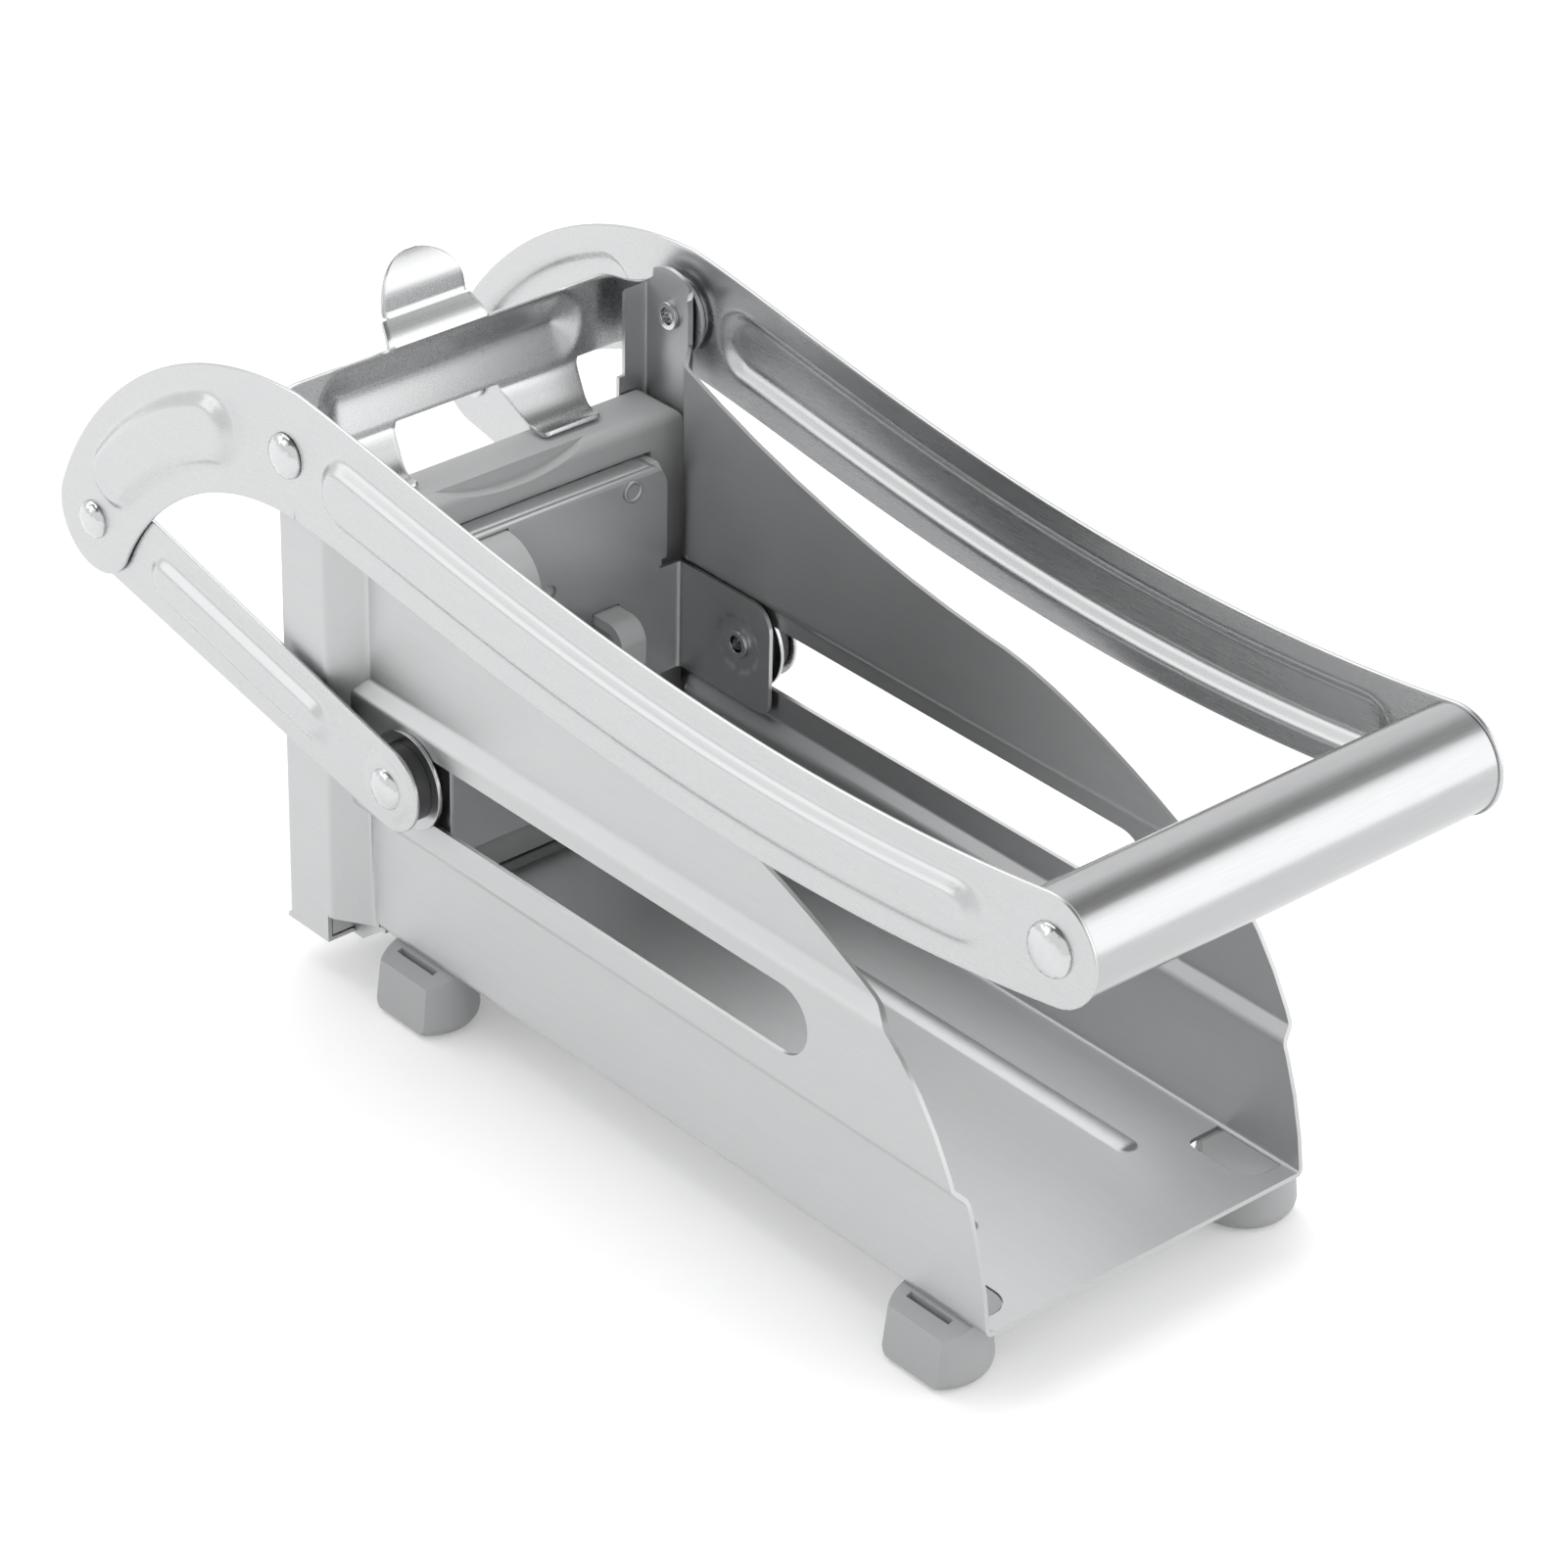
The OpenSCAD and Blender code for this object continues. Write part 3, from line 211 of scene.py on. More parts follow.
SATIN, SPARK_SIZE, SPARK_SPREAD, SPARK_DEPTH, SPARK_RELIEF = 0.42, 2600.0, 0.05, 0.12, 0.00008
CLOUD_SIZE, PLASTIC_SMUDGES, PLASTIC_DULLS = 30.0, 0.5, 0.1


def moulded_plastic(name, dark, light):
    """Satin moulded plastic with a fine spark texture and faint clouds."""
    material = bpy.data.materials.new(name)
    material.use_nodes = True
    tree = material.node_tree
    shader = tree.nodes["Principled BSDF"]
    place = object_place(tree)
    spark = noise(tree, place, SPARK_SIZE, 2.0, 0.5)
    clouds = noise(tree, place, CLOUD_SIZE, 3.0, 0.5)
    marks = place_group(tree, HANDLING, place, Amount=PLASTIC_SMUDGES)
    tree.links.new(mixed_colour(tree, remap(tree, clouds, 0.3, 0.7, 0.0, 1.0), dark, light),
                   shader.inputs["Base Color"])
    gloss = maths(tree, "ADD", remap(tree, spark, 0.3, 0.7, SATIN - SPARK_SPREAD, SATIN + SPARK_SPREAD),
                  maths(tree, "MULTIPLY", marks.outputs["Mask"], PLASTIC_DULLS))
    tree.links.new(gloss, shader.inputs["Roughness"])
    bump = tree.nodes.new("ShaderNodeBump")
    bump.inputs["Strength"].default_value = SPARK_DEPTH
    bump.inputs["Distance"].default_value = SPARK_RELIEF
    tree.links.new(spark, bump.inputs["Height"])
    tree.links.new(bump.outputs["Normal"], shader.inputs["Normal"])
    return material


ALONG_X, ALONG_X_SHORTER, ALONG_Y, EVEN = (0.05, 1, 1), (0.06, 1, 1), (1, 0.06, 1), (1, 1, 1)
FINISHES = {
    "steel_body": brushed_steel("brushed channel steel", cool_grey(0.555), cool_grey(0.585),
                                0.4, 0.02, ALONG_X, 2600.0, 0.02, drawn=0.8),
    "steel_lever": brushed_steel("satin lever steel", cool_grey(0.555), cool_grey(0.58),
                                 0.27, 0.02, ALONG_X_SHORTER, 2600.0, 0.01),
    "steel_handle": brushed_steel("brushed handle steel", cool_grey(0.47), cool_grey(0.505),
                                  0.22, 0.03, ALONG_Y, 2800.0, 0.03),
    "rivet_steel": brushed_steel("bright rivet steel", cool_grey(0.6), cool_grey(0.64),
                                 0.12, 0.03, EVEN, 900.0, 0.02),
    "washer_steel": brushed_steel("washer steel", cool_grey(0.5), cool_grey(0.55),
                                  0.22, 0.04, EVEN, 900.0, 0.02),
    "blade_steel": brushed_steel("blade steel", cool_grey(0.58), cool_grey(0.62),
                                 0.2, 0.03, ALONG_X, 2600.0, 0.015),
    "grey_plastic": moulded_plastic("grey moulded plastic", cool_grey(0.47), cool_grey(0.5)),
    "foot_plastic": moulded_plastic("grey foot plastic", cool_grey(0.4), cool_grey(0.43)),
    "dark_plastic": moulded_plastic("dark plug plastic", (0.03, 0.03, 0.032), (0.045, 0.045, 0.048)),
}

# pieces taken over from the frame

SLOT_OF = {row["node"]: row["material_slot"] for row in frame["record"]["subparts"]}
BODY_OF = {member: body for body, members in frame["record"]["behaviour"]["bodies"].items() for member in members}


def only(piece):
    """Deselects everything and makes one piece selected and active."""
    bpy.ops.object.select_all(action="DESELECT")
    piece.select_set(True)
    bpy.context.view_layer.objects.active = piece


def finish_piece(piece, body, slot_name, *replaced):
    """Gives a made piece its finish, its body and the nodes that it stands for."""
    piece.data.materials.clear()
    piece.data.materials.append(FINISHES[slot_name])
    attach(piece, body)
    if replaced:
        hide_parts(*replaced)
    return piece


SHEET_EASE = 0.12
EASE = {"cassette_frame": 0.7, "tooth_block": 0.2, "foot_front_near": 0.3, "foot_front_far": 0.3,
        "foot_rear_near": 0.3, "foot_rear_far": 0.3}
MERGE, FLAT_TOGETHER = 0.002 * MM, math.radians(0.5)
EDGE_TURN, SMOOTH_TURN = math.radians(40), math.radians(35)


def eased_copy(node, name):
    """A copy of a node with its loose triangles merged and its sharp edges eased by its own width."""
    piece = nodes[node].copy()
    piece.data = nodes[node].data.copy()
    piece.name = name
    piece.parent = None
    for key in list(piece.keys()):
        del piece[key]
    scene.collection.objects.link(piece)
    only(piece)
    bpy.ops.object.mode_set(mode="EDIT")
    bpy.ops.mesh.select_all(action="SELECT")
    bpy.ops.mesh.remove_doubles(threshold=MERGE)
    bpy.ops.mesh.dissolve_limited(angle_limit=FLAT_TOGETHER)
    bpy.ops.object.mode_set(mode="OBJECT")
    bevel = piece.modifiers.new("eased edges", "BEVEL")
    bevel.width = EASE.get(node, SHEET_EASE) * MM
    bevel.segments = 2
    bevel.limit_method = "ANGLE"
    bevel.angle_limit = EDGE_TURN
    bevel.use_clamp_overlap = True
    bpy.ops.object.modifier_apply(modifier=bevel.name)
    bpy.ops.object.shade_smooth_by_angle(angle=SMOOTH_TURN)
    flats = piece.modifiers.new("flat faces stay flat", "WEIGHTED_NORMAL")
    flats.keep_sharp = True
    flats.weight = 100
    bpy.ops.object.modifier_apply(modifier=flats.name)
    return piece


# measures of the pressed pieces, in millimetres behind the front lip and above the floor's underside

LIP, UNDERSIDE = 104.45, 11.8
SHEET = 0.8
PIVOT, LINK_PIN = np.array([-168.4, 91.4]), np.array([-226.3, 55.2])
HANDLE, PUSHER_PIN = np.array([18.1, 85.4]), np.array([-143.6, 37.5])
ARM_FACE, LINK_FACE = 43.9, 42.8
BORE = 2.25


def bezier(knots, shares):
    """Points of a curve at some shares of its way, drawn by its two ends and two handles."""
    t = np.asarray(shares, float)[:, None]
    a, b, c, d = np.asarray(knots, float)
    return (1 - t) ** 3 * a + 3 * (1 - t) ** 2 * t * b + 3 * (1 - t) * t * t * c + t ** 3 * d


TAIL_SHAPE = PIVOT - np.array([[1, 1], [0.857, 0.508], [0.477, -0.022], [-0.041, -0.017]]) * (PIVOT - LINK_PIN)
REACH = HANDLE[0] - PIVOT[0]
FRONT_SHAPE = np.array([TAIL_SHAPE[3], PIVOT + np.array([0.174, -0.01]) * REACH,
                        PIVOT + np.array([0.549, -0.107]) * REACH, HANDLE])
TAIL_HALF, CREST_HALF, GRIP_HALF = 10.3, 12.1, 9.6


def tail_part(shares):
    """Middle line and half width of the lever behind its crest."""
    return bezier(TAIL_SHAPE, shares), TAIL_HALF + (CREST_HALF - TAIL_HALF) * np.asarray(shares, float)


def front_part(shares):
    """Middle line and half width of the lever from its crest to the handle."""
    half = bezier([[CREST_HALF], [0.934 * CREST_HALF], [0.9 * CREST_HALF], [GRIP_HALF]], shares)[:, 0]
    return bezier(FRONT_SHAPE, shares), half


def joined(*parts):
    """Two stretches of a strip as one, without the doubled point between them."""
    (line_a, half_a), (line_b, half_b) = parts
    return np.vstack([line_a, line_b[1:]]), np.concatenate([half_a, half_b[1:]])


def height_over(points, line, half, rise, crown):
    """How high a pressed rib stands over each point: full over its crown, then falling smoothly to its rim."""
    start, step = line[:-1], line[1:] - line[:-1]
    share = ((points[:, None] - start[None]) * step).sum(2) / (step ** 2).sum(1)
    share = np.clip(share, 0, 1)
    gap = np.linalg.norm(points[:, None] - (start[None] + share[..., None] * step[None]), axis=2)
    nearest = gap.argmin(1)
    rows = np.arange(len(points))
    local = half[nearest] + (half[nearest + 1] - half[nearest]) * share[rows, nearest]
    fall = np.clip((gap[rows, nearest] / local - crown) / (1 - crown), 0, 1)
    return rise * 0.5 * (1 + np.cos(np.pi * fall))


def section_round(columns, edge, thickness):
    """One turn round a sheet strip's section: inset from the rim, share of the width and depth below the face."""
    corner = [math.radians(a) for a in (30, 60, 90)]
    face = [-1 + 2 * k / columns for k in range(columns + 1)]
    down = [(edge * (1 - math.sin(a)), 1, edge * (1 - math.cos(a))) for a in corner]
    up = [(inset, share, thickness - depth) for inset, share, depth in reversed(down)]
    back = [(inset, -share, depth) for inset, share, depth in down + up]
    return ([(edge, share, 0.0) for share in face] + down + up
            + [(edge, -share, thickness) for share in face] + list(reversed(back)) + [(edge, -1, 0.0)])


def drill_bore(piece, centre, y, depth):
    """Cuts a rivet's bore across the machine."""
    bpy.ops.mesh.primitive_cylinder_add(
        vertices=40, radius=BORE * MM, depth=depth * MM, rotation=(math.pi / 2, 0, 0),
        location=((centre[0] + LIP) * MM, y * MM, (centre[1] + UNDERSIDE) * MM))
    drill = bpy.context.object
    only(piece)
    cut = piece.modifiers.new("bore", "BOOLEAN")
    cut.object = drill
    cut.solver = "EXACT"
    bpy.ops.object.modifier_apply(modifier=cut.name)
    bpy.data.objects.remove(drill)


CAP_ROWS, STRIP_RIM, WELD, DRILL_DEPTH = 18, 0.25, 0.004 * MM, 4.0


def pressed_strip(name, line, half, face, ribs, bores, columns):
    """A round-ended strip of sheet, pressed up into ribs, on the near side: a grid wrapped round its section."""
    heading = np.gradient(line, axis=0)
    heading /= np.linalg.norm(heading, axis=1)[:, None]
    swing = np.radians(np.linspace(90, 0, CAP_ROWS, endpoint=False))
    ends = [(0, -math.sin(a), math.cos(a)) for a in swing]
    rows = ends + [(k, 0.0, 1.0) for k in range(len(line))] + [(-1, -past, wide) for _, past, wide in reversed(ends)]
    section = section_round(columns, STRIP_RIM, SHEET)
    bpy.ops.mesh.primitive_grid_add(x_subdivisions=len(rows) - 1, y_subdivisions=len(section) - 1, size=2)
    piece = bpy.context.object
    piece.name = name
    places = np.array([vertex.co[:2] for vertex in piece.data.vertices])
    row_of = np.rint((places[:, 0] + 1) / 2 * (len(rows) - 1)).astype(int)
    turn_of = np.rint((places[:, 1] + 1) / 2 * (len(section) - 1)).astype(int)
    knot, past, wide = (np.array([row[k] for row in rows])[row_of] for k in range(3))
    inset, share, depth = (np.array([turn[k] for turn in section])[turn_of] for k in range(3))
    knot = knot.astype(int)
    along = heading[knot]
    across = np.stack([-along[:, 1], along[:, 0]], 1)
    reach = half[knot] - inset
    points = line[knot] + along * (past * reach)[:, None] + across * (wide * share * reach)[:, None]
    height = np.max([height_over(points, *rib) for rib in ribs], axis=0)
    for vertex, point, out in zip(piece.data.vertices, points, face + height - depth):
        vertex.co = ((point[0] + LIP) * MM, -out * MM, (point[1] + UNDERSIDE) * MM)
    only(piece)
    bpy.ops.object.mode_set(mode="EDIT")
    bpy.ops.mesh.select_all(action="SELECT")
    bpy.ops.mesh.remove_doubles(threshold=WELD)
    bpy.ops.mesh.normals_make_consistent(inside=False)
    bpy.ops.object.mode_set(mode="OBJECT")
    for bore in bores:
        drill_bore(piece, bore, -face, DRILL_DEPTH)
    bpy.ops.object.shade_smooth_by_angle(angle=EDGE_TURN)
    return piece


def far_copy(piece, name):
    """The same piece for the far side, turned over and facing outwards."""
    twin = piece.copy()
    twin.data = piece.data.copy()
    twin.name = name
    scene.collection.objects.link(twin)
    twin.data.transform(Matrix.Scale(-1, 4, (0, 1, 0)))
    only(twin)
    bpy.ops.object.mode_set(mode="EDIT")
    bpy.ops.mesh.select_all(action="SELECT")
    bpy.ops.mesh.normals_make_consistent(inside=False)
    bpy.ops.object.mode_set(mode="OBJECT")
    return twin


def rib_along(part, shares, halves, rise, crown, points):
    """A rib on some stretch of a strip's middle line: its line, half widths, height and share of flat crown."""
    way = np.linspace(*shares, points)
    return part(way)[0], np.linspace(*halves, points), rise, crown


ARM_RIB_RISE = 2.0
TAIL_RIB_SHARES, TAIL_RIB_HALF, TAIL_CROWN = (0.22, 0.72), (6.6, 7.2), 0.58
FRONT_RIB_SHARES, FRONT_RIB_HALF, FRONT_CROWN = (0.135, 0.92), (7.1, 6.0), 0.52
LINK_HALF = (9.5, 8.0)
LINK_RIB_SHARES, LINK_RIB_HALF, LINK_RIB_RISE, LINK_CROWN = (0.245, 0.75), (4.9, 4.9), 1.5, 0.42
BOSS_HALF, BOSS_RISE, BOSS_CROWN = 6.5, 0.5, 0.72


def build_lever_arm():
    """The near lever arm: a broad curved strip with a tail rib and a long front rib."""
    line, half = joined(tail_part(np.linspace(0, 1, 70)), front_part(np.linspace(0, 1, 150)))
    ribs = [rib_along(tail_part, TAIL_RIB_SHARES, TAIL_RIB_HALF, ARM_RIB_RISE, TAIL_CROWN, 60),
            rib_along(front_part, FRONT_RIB_SHARES, FRONT_RIB_HALF, ARM_RIB_RISE, FRONT_CROWN, 120)]
    return pressed_strip("lever_arm_near_pressed", line, half, ARM_FACE, ribs, [PIVOT, LINK_PIN, HANDLE], 36)


def link_part(shares):
    """Middle line and half width of a link from its rear pin to its front pin."""
    shares = np.asarray(shares, float)
    return (LINK_PIN + shares[:, None] * (PUSHER_PIN - LINK_PIN),
            LINK_HALF[0] + (LINK_HALF[1] - LINK_HALF[0]) * shares)


def build_link():
    """The near link: a straight strip with one rib and a raised boss round its front pin."""
    line, half = link_part(np.linspace(0, 1, 90))
    boss = (np.array([PUSHER_PIN, PUSHER_PIN + 0.01]), np.array([BOSS_HALF, BOSS_HALF]), BOSS_RISE, BOSS_CROWN)
    ribs = [rib_along(link_part, LINK_RIB_SHARES, LINK_RIB_HALF, LINK_RIB_RISE, LINK_CROWN, 50), boss]
    return pressed_strip("link_near_pressed", line, half, LINK_FACE, ribs, [LINK_PIN, PUSHER_PIN], 30)


# the clip: its strap, bead, legs and tab

CLIP_BACK, CLIP_SIDE, CLIP_TURN = -179.8, 42.1, 5.6
CLIP_EAR = PIVOT[0] - CLIP_BACK - CLIP_TURN
CLIP_BEND = CLIP_TURN * math.pi / 2
CLIP_RUN = 2 * (CLIP_EAR + CLIP_BEND + CLIP_SIDE - CLIP_TURN)
BAR_MIDDLE, BAR_HALF, EAR_RADIUS = 90.1, 7.1, 7.5
STRAP_COLUMNS, STRAP_STEP = 22, 0.8
SHOULDER_CUT, SHOULDER_SHARE = 2.6, 0.9
# the bead's straight half length and its ends, then its reach above and below its crease, depth and softness
BEAD_STRAIGHT, BEAD_END = 23.5, 5.5
BEAD_LIFT, BEAD_ABOVE, BEAD_BELOW = 0.3, 6.6, 7.4
BEAD_DEEP, BEAD_SOFT = 2.4, 0.13
LEG_SPANS = ((-30.5, -12.5), (10.0, 28.0))
TAB_SPAN = (-13.6, 8.2)
LEG_PATH = ((-179.8, 83.0), (-179.72, 82.4), (-179.46, 81.8), (-179.0, 81.2), (-178.35, 80.5), (-177.6, 79.75),
            (-176.8, 78.95), (-176.0, 78.15), (-175.2, 77.4), (-174.4, 76.75), (-173.5, 76.2), (-172.5, 75.8),
            (-171.5, 75.58), (-170.5, 75.54), (-169.7, 75.66), (-169.2, 75.85), (-168.95, 76.0), (-168.85, 76.08))
LEG_TOP, LEG_DROP, LEG_TAPER = 83.0, 7.8, 0.306
LEG_ENDS = {-169.7: 0.985, -169.2: 0.95, -168.95: 0.88, -168.85: 0.78}
TAB_PATH = ((-179.8, 97.2), (-180.05, 97.65), (-180.4, 98.1), (-181.0, 98.65), (-181.75, 99.3), (-182.5, 99.95),
            (-183.2, 100.6), (-183.6, 101.2), (-183.85, 101.95), (-184.0, 102.9), (-184.15, 103.9), (-184.3, 104.9),
            (-184.5, 105.8), (-184.85, 106.7), (-185.4, 107.55), (-186.05, 108.3), (-186.8, 109.15), (-187.65, 109.95))

TAB_MIDDLE, TAB_ROOT_HALF, TAB_TAPER, TAB_NOTCH_HALF, TAB_HALF = -2.8, 10.9, 1.3, 8.0, 8.9
TAB_FOLD, TAB_CROWN = 4.6, 8.6
CLIP_RIM, CLIP_RIM_TURN, DRILL_THROUGH = 0.2, math.radians(60), 100.0


def round_the_box(run):
    """Place of the clip's outer face and the way it faces, along its strap from the near pivot to the far one."""
    left = min(run, CLIP_RUN - run)
    if left < CLIP_EAR:
        x, y, facing = PIVOT[0] - left, -CLIP_SIDE, (0.0, -1.0)
    elif left < CLIP_EAR + CLIP_BEND:
        turn = (left - CLIP_EAR) / CLIP_TURN
        x = CLIP_BACK + CLIP_TURN * (1 - math.sin(turn))
        y = -CLIP_SIDE + CLIP_TURN * (1 - math.cos(turn))
        facing = (-math.sin(turn), -math.cos(turn))
    else:
        x, y, facing = CLIP_BACK, left - CLIP_EAR - CLIP_BEND - CLIP_SIDE + CLIP_TURN, (-1.0, 0.0)
    return (x, y, facing) if run < CLIP_RUN / 2 else (x, -y, (facing[0], -facing[1]))


def run_at(y):
    """How far along the clip's strap a place on its bar lies."""
    return CLIP_RUN / 2 + y


def bar_bead(run, z):
    """Depth of the long V bead pressed into the bar, rounded in its crease and at both ends."""
    past = max(abs(run - CLIP_RUN / 2) - BEAD_STRAIGHT, 0.0) / BEAD_END
    height = z - BAR_MIDDLE - BEAD_LIFT
    share = min(math.hypot(height / (BEAD_ABOVE if height > 0 else BEAD_BELOW), past), 1.0)
    rim = math.hypot(1, BEAD_SOFT)
    return BEAD_DEEP * (rim - math.hypot(share, BEAD_SOFT)) / (rim - BEAD_SOFT)


def draw_out(piece, row, steps):
    """Extrudes a row of rim points again and again; each step gives its x, z, spread and middle y."""
    first = {index: piece.data.vertices[index].co.y for index in row}
    widths = sorted(first.values())
    for x, z, spread, middle in steps:
        only(piece)
        bpy.ops.object.mode_set(mode="EDIT")
        bpy.ops.mesh.select_mode(type="EDGE")
        bpy.ops.mesh.select_all(action="DESELECT")
        bpy.ops.object.mode_set(mode="OBJECT")
        chosen = set(row)
        for edge in piece.data.edges:
            edge.select = edge.vertices[0] in chosen and edge.vertices[1] in chosen
        bpy.ops.object.mode_set(mode="EDIT")
        bpy.ops.mesh.extrude_edges_move()
        bpy.ops.object.mode_set(mode="OBJECT")
        row = sorted((v.index for v in piece.data.vertices if v.select), key=lambda k: piece.data.vertices[k].co.y)
        for index, y in zip(row, widths):
            piece.data.vertices[index].co = ((x + LIP) * MM, middle * MM + (y - middle * MM) * spread,
                                             (z + UNDERSIDE) * MM)
    return row


def path_steps(path, distances):
    """Points at some distances along a path."""
    path = np.array(path)
    gone = np.concatenate([[0], np.cumsum(np.linalg.norm(np.diff(path, axis=0), axis=1))])
    return [(np.interp(d, gone, path[:, 0]), np.interp(d, gone, path[:, 1])) for d in distances], gone[-1]


def tab_steps():
    """Steps that draw the thumb tab out of the bar: a tapering root, two small notches and a round blade."""
    length = path_steps(TAB_PATH, [0])[1]
    root_part = [(d, TAB_ROOT_HALF - TAB_TAPER * d / TAB_FOLD) for d in (0.7, 1.5, 2.3, 3.2, 4.0, TAB_FOLD)]
    notch_part = [(TAB_FOLD + 0.25, TAB_NOTCH_HALF), (TAB_FOLD + 0.9, TAB_HALF)]
    flat_part = [(d, TAB_HALF) for d in np.linspace(TAB_FOLD + 1.7, length - TAB_CROWN, 4)]
    crown_part = [(length - TAB_CROWN * (1 - math.sin(a)), TAB_HALF * math.cos(a))
                  for a in np.radians(range(10, 90, 8))]
    widths = root_part + notch_part + flat_part + crown_part
    places = path_steps(TAB_PATH, [d for d, _ in widths])[0]
    return [(x, z, half / TAB_ROOT_HALF, TAB_MIDDLE) for (x, z), (_, half) in zip(places, widths)]


def leg_steps(span):
    """Steps that draw a leg out of the bar, tapering down to its curled sole."""
    middle = (span[0] + span[1]) / 2
    return [(x, z, (1 - LEG_TAPER * (LEG_TOP - z) / LEG_DROP) * LEG_ENDS.get(x, 1.0), middle)
            for x, z in LEG_PATH[1:]]


def rim_points(points, span):
    """The rim points of the bar's flat stretch within a span across the machine."""
    return [k for k, y, end, facing in points
            if not end and facing == (-1.0, 0.0) and span[0] - 0.01 < y < span[1] + 0.01]


def shoulder_dip(run, share):
    """How far the strap's upper edge dips at the bends, so that it swings clear of the uprights."""
    beside = abs(min(run, CLIP_RUN - run) - CLIP_EAR - CLIP_BEND / 2) / (SHOULDER_SHARE * CLIP_BEND)
    return SHOULDER_CUT * 0.5 * (1 + math.cos(math.pi * min(beside, 1))) * ((1 + share) / 2) ** 2


def build_clip():
    """The blade clip as one bent sheet: ears, bar with its bead, two legs and the thumb tab."""
    stops = sorted(run_at(y) for span in LEG_SPANS + (TAB_SPAN,) for y in span)
    plain = [r for r in np.arange(0, CLIP_RUN, STRAP_STEP) if min(abs(r - stop) for stop in stops) > STRAP_STEP / 2]
    runs = sorted(plain + stops) + [CLIP_RUN]
    ends = [k / 6 for k in range(1, 7)]
    rows = [(0.0, -t) for t in reversed(ends)] + [(run, 0.0) for run in runs] + [(CLIP_RUN, t) for t in ends]
    bpy.ops.mesh.primitive_grid_add(x_subdivisions=len(rows) - 1, y_subdivisions=STRAP_COLUMNS, size=2)
    piece = bpy.context.object
    piece.name = "blade_clip_bent"
    low, high = [], []
    for vertex in piece.data.vertices:
        run, end = rows[round((vertex.co.x + 1) / 2 * (len(rows) - 1))]
        share = vertex.co.y
        ear = max(0.0, 1 - min(run, CLIP_RUN - run) / (CLIP_EAR + 2))
        middle, half = BAR_MIDDLE + (PIVOT[1] - BAR_MIDDLE) * ear, BAR_HALF + (EAR_RADIUS - BAR_HALF) * ear
        swing = math.radians(60) * share
        past, rise = abs(end) * math.cos(swing), share + abs(end) * (math.sin(swing) - share)
        swell = 1 + share ** 4 * (1 / max(math.hypot(past, rise), 0.01) - 1) if end else 1
        x, y, facing = round_the_box(run)
        z = middle + half * rise * swell - shoulder_dip(run, share)
        out = bar_bead(run, z)
        vertex.co = ((x + facing[0] * out + half * past * swell + LIP) * MM, (y + facing[1] * out) * MM,
                     (z + UNDERSIDE) * MM)
        (low if share < -0.999 else high if share > 0.999 else []).append((vertex.index, y, end, facing))
    rows_out = [(rim_points(low, span), leg_steps(span)) for span in LEG_SPANS]
    rows_out.append((rim_points(high, TAB_SPAN), tab_steps()))
    for row, steps in rows_out:
        draw_out(piece, row, steps)
    on_bar = next(f.index for f in piece.data.polygons
                  if abs(f.center.y) < 5 * MM and abs(f.center.z - 0.096) < 2 * MM)
    only(piece)
    bpy.ops.object.mode_set(mode="EDIT")
    bpy.ops.mesh.select_all(action="SELECT")
    bpy.ops.mesh.normals_make_consistent(inside=False)
    bpy.ops.object.mode_set(mode="OBJECT")
    if piece.data.polygons[on_bar].normal.x > 0:
        bpy.ops.object.mode_set(mode="EDIT")
        bpy.ops.mesh.flip_normals()
        bpy.ops.object.mode_set(mode="OBJECT")
    sheet = piece.modifiers.new("sheet", "SOLIDIFY")
    sheet.thickness = SHEET * MM
    sheet.offset = -1
    bpy.ops.object.modifier_apply(modifier=sheet.name)
    rims = piece.modifiers.new("rims", "BEVEL")
    rims.width = CLIP_RIM * MM
    rims.segments = 2
    rims.angle_limit = CLIP_RIM_TURN
    bpy.ops.object.modifier_apply(modifier=rims.name)
    drill_bore(piece, PIVOT, 0.0, DRILL_THROUGH)
    bpy.ops.object.shade_smooth_by_angle(angle=EDGE_TURN)
    return piece


PIP = (-159.2, 24.1, 65.6)
PIP_RADIUS, PIP_LENGTH, PIP_LIP, PIP_SLOPE, PIP_HOLLOW, PIP_EASE = 2.1, 1.2, 0.55, 0.3, 0.35, 0.18


def build_plate_pip():
    """The small half-pierced pip in the upper far corner of the pusher plate."""
    bpy.ops.mesh.primitive_cylinder_add(
        vertices=40, radius=PIP_RADIUS * MM, depth=PIP_LENGTH * MM, rotation=(0, math.pi / 2, 0),
        location=((PIP[0] + LIP) * MM, PIP[1] * MM, (PIP[2] + UNDERSIDE) * MM))
    piece = bpy.context.object
    piece.name = "pusher_plate_pip"
    only(piece)
    bpy.ops.object.transform_apply(location=True, rotation=True, scale=True)
    bpy.ops.object.mode_set(mode="EDIT")
    bpy.ops.mesh.select_mode(type="FACE")
    bpy.ops.mesh.select_all(action="DESELECT")
    bpy.ops.object.mode_set(mode="OBJECT")
    for face in piece.data.polygons:
        face.select = face.normal.x > 0.9
    bpy.ops.object.mode_set(mode="EDIT")
    bpy.ops.mesh.inset(thickness=PIP_LIP * MM)
    bpy.ops.mesh.inset(thickness=PIP_SLOPE * MM, depth=-PIP_HOLLOW * MM)
    bpy.ops.object.mode_set(mode="OBJECT")
    ease = piece.modifiers.new("eased rim", "BEVEL")
    ease.width = PIP_EASE * MM
    ease.segments = 3
    bpy.ops.object.modifier_apply(modifier=ease.name)
    bpy.ops.object.shade_smooth_by_angle(angle=math.radians(50))
    return piece


def stand_for(node, piece):
    """Gives a made piece the body and finish of one node, and the node's place."""
    return finish_piece(piece, BODY_OF[node], SLOT_OF[node], node)


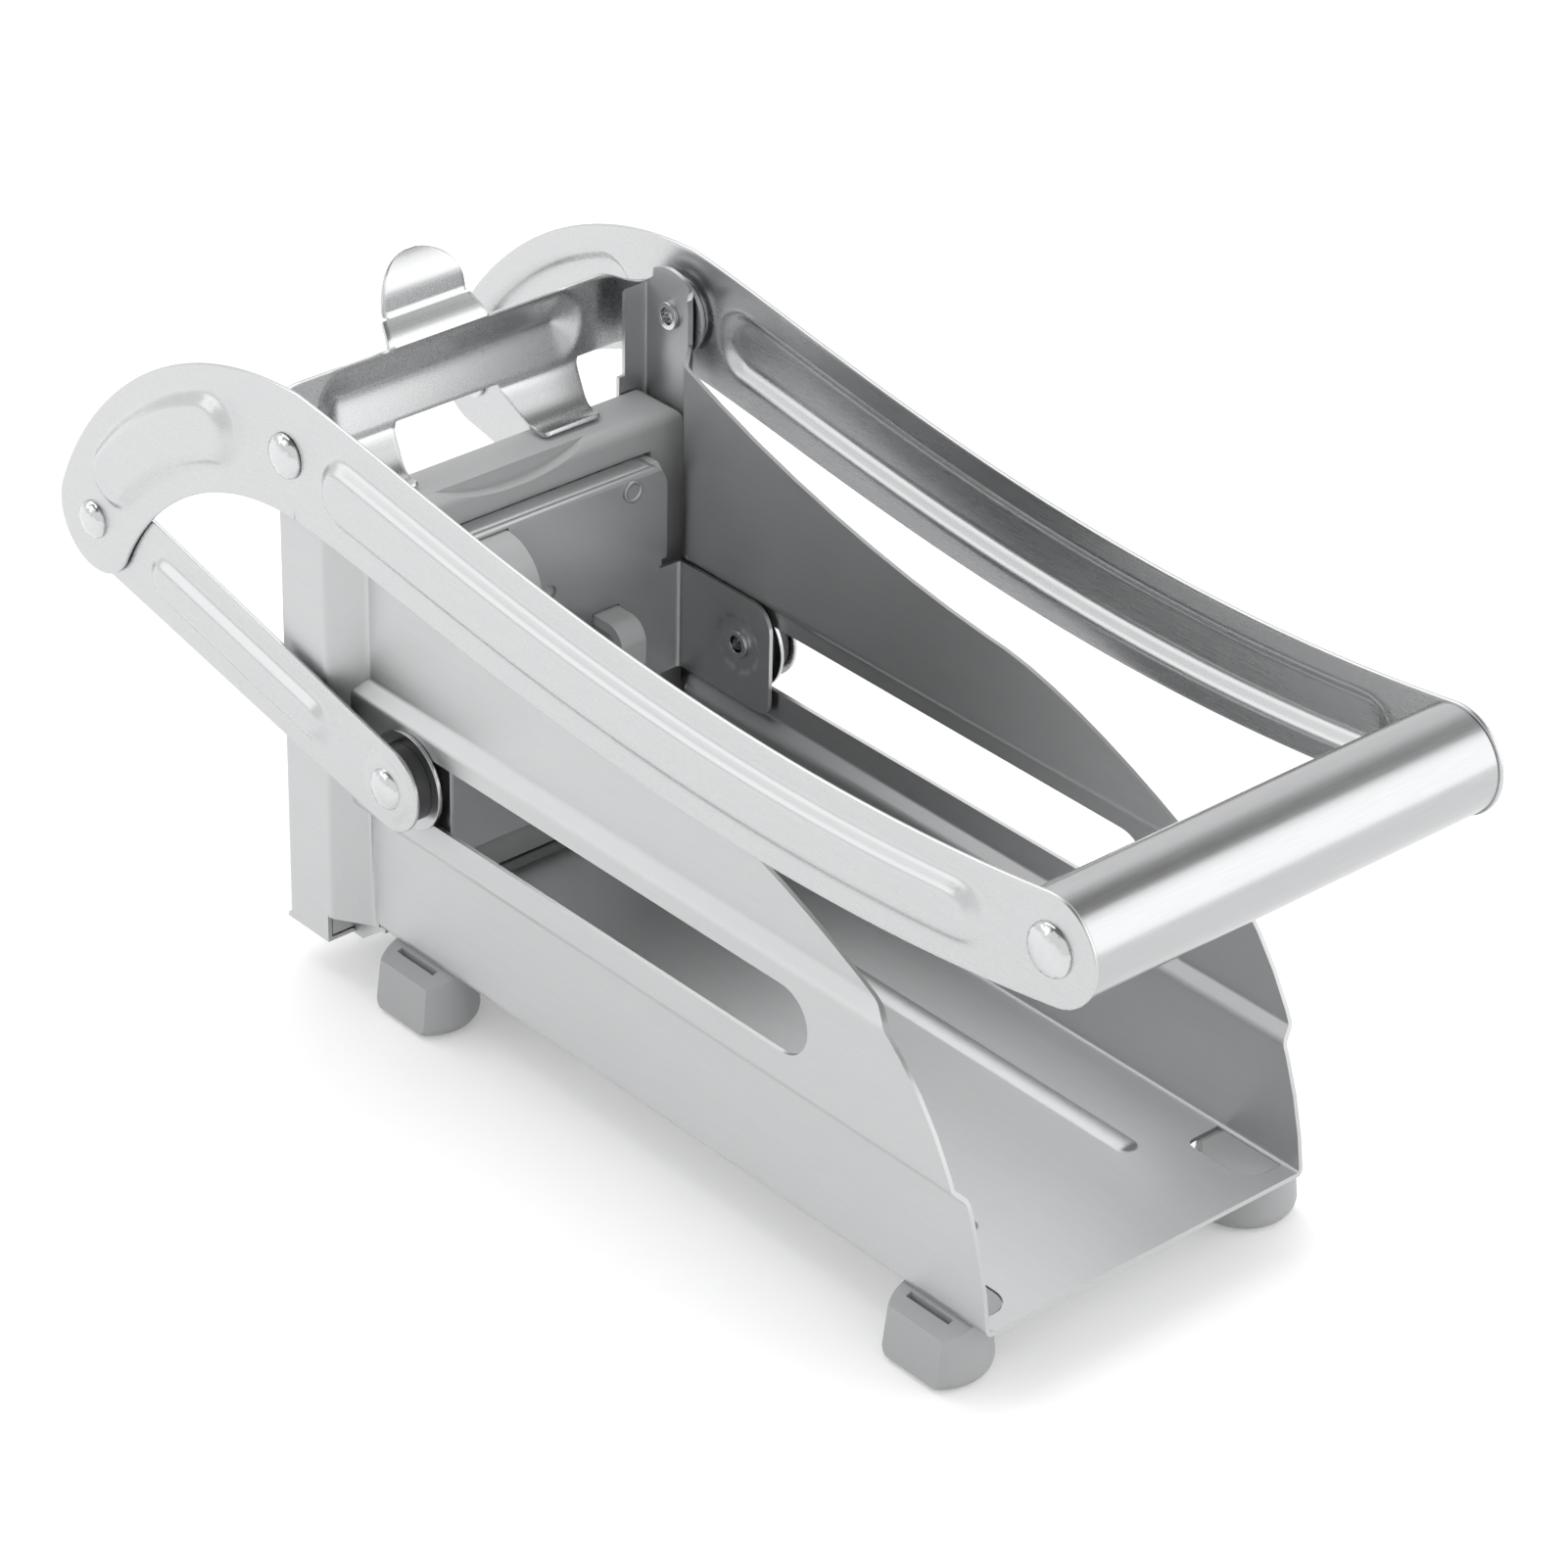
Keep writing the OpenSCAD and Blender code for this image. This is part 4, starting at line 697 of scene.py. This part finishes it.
finish_piece(build_plate_pip(), BODY_OF["pusher_plate"], SLOT_OF["pusher_plate"])
arm = stand_for("lever_arm_near", build_lever_arm())
link = stand_for("link_near", build_link())
stand_for("lever_arm_far", far_copy(arm, "lever_arm_far_pressed"))
stand_for("link_far", far_copy(link, "link_far_pressed"))
stand_for("blade_clip", build_clip())
PRESSED = ("lever_arm_near", "lever_arm_far", "link_near", "link_far", "blade_clip")

for node in sorted(nodes):
    if node not in PRESSED:
        stand_for(node, eased_copy(node, node + "_eased"))
    nodes[node].data.materials.clear()
    nodes[node].data.materials.append(FINISHES[SLOT_OF[node]])

# studio and camera

AZIMUTH, ELEVATION, ROLL = math.radians(48.2019), math.radians(30.9722), math.radians(1.2373)
TARGET = Vector((0.013893, 0.0, 0.058465))
DISTANCE = 0.9587528
FOCAL_PIXELS, IMAGE_PIXELS, SENSOR = 5855.1261, 1601, 36.0
FLOOR_SIZE, FLOOR_GREY, FLOOR_ROUGH, FLOOR_GLOW = 8.0, (0.9, 0.9, 0.9, 1), 0.9, 0.22
FILL = 0.8
WALL_FADE = (0.62, 0.82, 1.0, 0.2)
LAMP_AIM = (0, 0, 0.05)
LAMPS = (("handle softbox", (1.0, 1.7), 5.2, (1.1, 0.88, 0.6)),
         ("near softbox", (1.1, 0.6), 1.3, (-0.95, -1.0, 0.62)),
         ("top softbox", (1.3, 1.1), 8.0, (-0.7, 0.1, 1.25)))


def set_camera():
    """The photograph's viewpoint: where it looks from, its roll and its long lens."""
    back = Vector((math.sin(AZIMUTH) * math.cos(ELEVATION), -math.cos(AZIMUTH) * math.cos(ELEVATION),
                   math.sin(ELEVATION)))
    right = Vector((math.cos(AZIMUTH), math.sin(AZIMUTH), 0.0))
    up = back.cross(right)
    right, up = (right * math.cos(ROLL) + up * math.sin(ROLL), up * math.cos(ROLL) - right * math.sin(ROLL))
    camera = bpy.data.objects.new("camera", bpy.data.cameras.new("camera"))
    scene.collection.objects.link(camera)
    turned = Matrix((right, up, back)).transposed().to_4x4()
    camera.matrix_world = Matrix.Translation(TARGET + back * DISTANCE) @ turned
    camera.data.sensor_width = SENSOR
    camera.data.lens = FOCAL_PIXELS / IMAGE_PIXELS * SENSOR
    camera.data.clip_start, camera.data.clip_end = 0.05, 20.0
    scene.camera = camera


def add_lamp(name, size, power, place):
    """A soft rectangular lamp that looks at the object."""
    lamp = bpy.data.objects.new(name, bpy.data.lights.new(name, "AREA"))
    lamp.data.shape = "RECTANGLE"
    lamp.data.size, lamp.data.size_y = size
    lamp.data.energy = power
    lamp.location = place
    lamp.rotation_euler = (Vector(place) - Vector(LAMP_AIM)).to_track_quat("Z", "Y").to_euler()
    scene.collection.objects.link(lamp)


def seen_rays(tree):
    """1 for rays that show the surroundings, straight on or in steel; 0 for rays that only bring light."""
    path = tree.nodes.new("ShaderNodeLightPath")
    seen = maths(tree, "MAXIMUM", path.outputs["Is Camera Ray"], path.outputs["Is Glossy Ray"])
    return maths(tree, "MAXIMUM", seen, path.outputs["Is Transmission Ray"])


def build_floor():
    """A pale matt floor that fades to white where it is seen and keeps the object's shadow."""
    bpy.ops.mesh.primitive_plane_add(size=FLOOR_SIZE)
    floor = bpy.context.object
    floor.name = "floor"
    material = bpy.data.materials.new("pale floor")
    material.use_nodes = True
    tree = material.node_tree
    shader = tree.nodes["Principled BSDF"]
    shader.inputs["Base Color"].default_value = FLOOR_GREY
    shader.inputs["Roughness"].default_value = FLOOR_ROUGH
    shader.inputs["Specular IOR Level"].default_value = 0.0
    shader.inputs["Emission Color"].default_value = (1, 1, 1, 1)
    tree.links.new(maths(tree, "MULTIPLY", seen_rays(tree), FLOOR_GLOW), shader.inputs["Emission Strength"])
    floor.data.materials.append(material)


def build_surroundings():
    """White walls that the steel mirrors, greyer towards the ceiling, and an even fill light."""
    world = bpy.data.worlds.new("studio")
    scene.world = world
    world.use_nodes = True
    tree = world.node_tree
    background = tree.nodes["Background"]
    background.inputs["Color"].default_value = (1, 1, 1, 1)
    towards = tree.nodes.new("ShaderNodeTexCoord")
    parts = tree.nodes.new("ShaderNodeSeparateXYZ")
    tree.links.new(towards.outputs["Generated"], parts.inputs["Vector"])
    walls = remap(tree, parts.outputs["Z"], *WALL_FADE)
    seen = seen_rays(tree)
    strength = maths(tree, "ADD", maths(tree, "MULTIPLY", seen, walls),
                     maths(tree, "MULTIPLY", maths(tree, "SUBTRACT", 1.0, seen), FILL))
    tree.links.new(strength, background.inputs["Strength"])


def build_studio():
    """Floor, surroundings and three soft lamps."""
    build_floor()
    build_surroundings()
    for lamp in LAMPS:
        add_lamp(*lamp)


set_camera()
build_studio()
scene.view_settings.view_transform = "Standard"
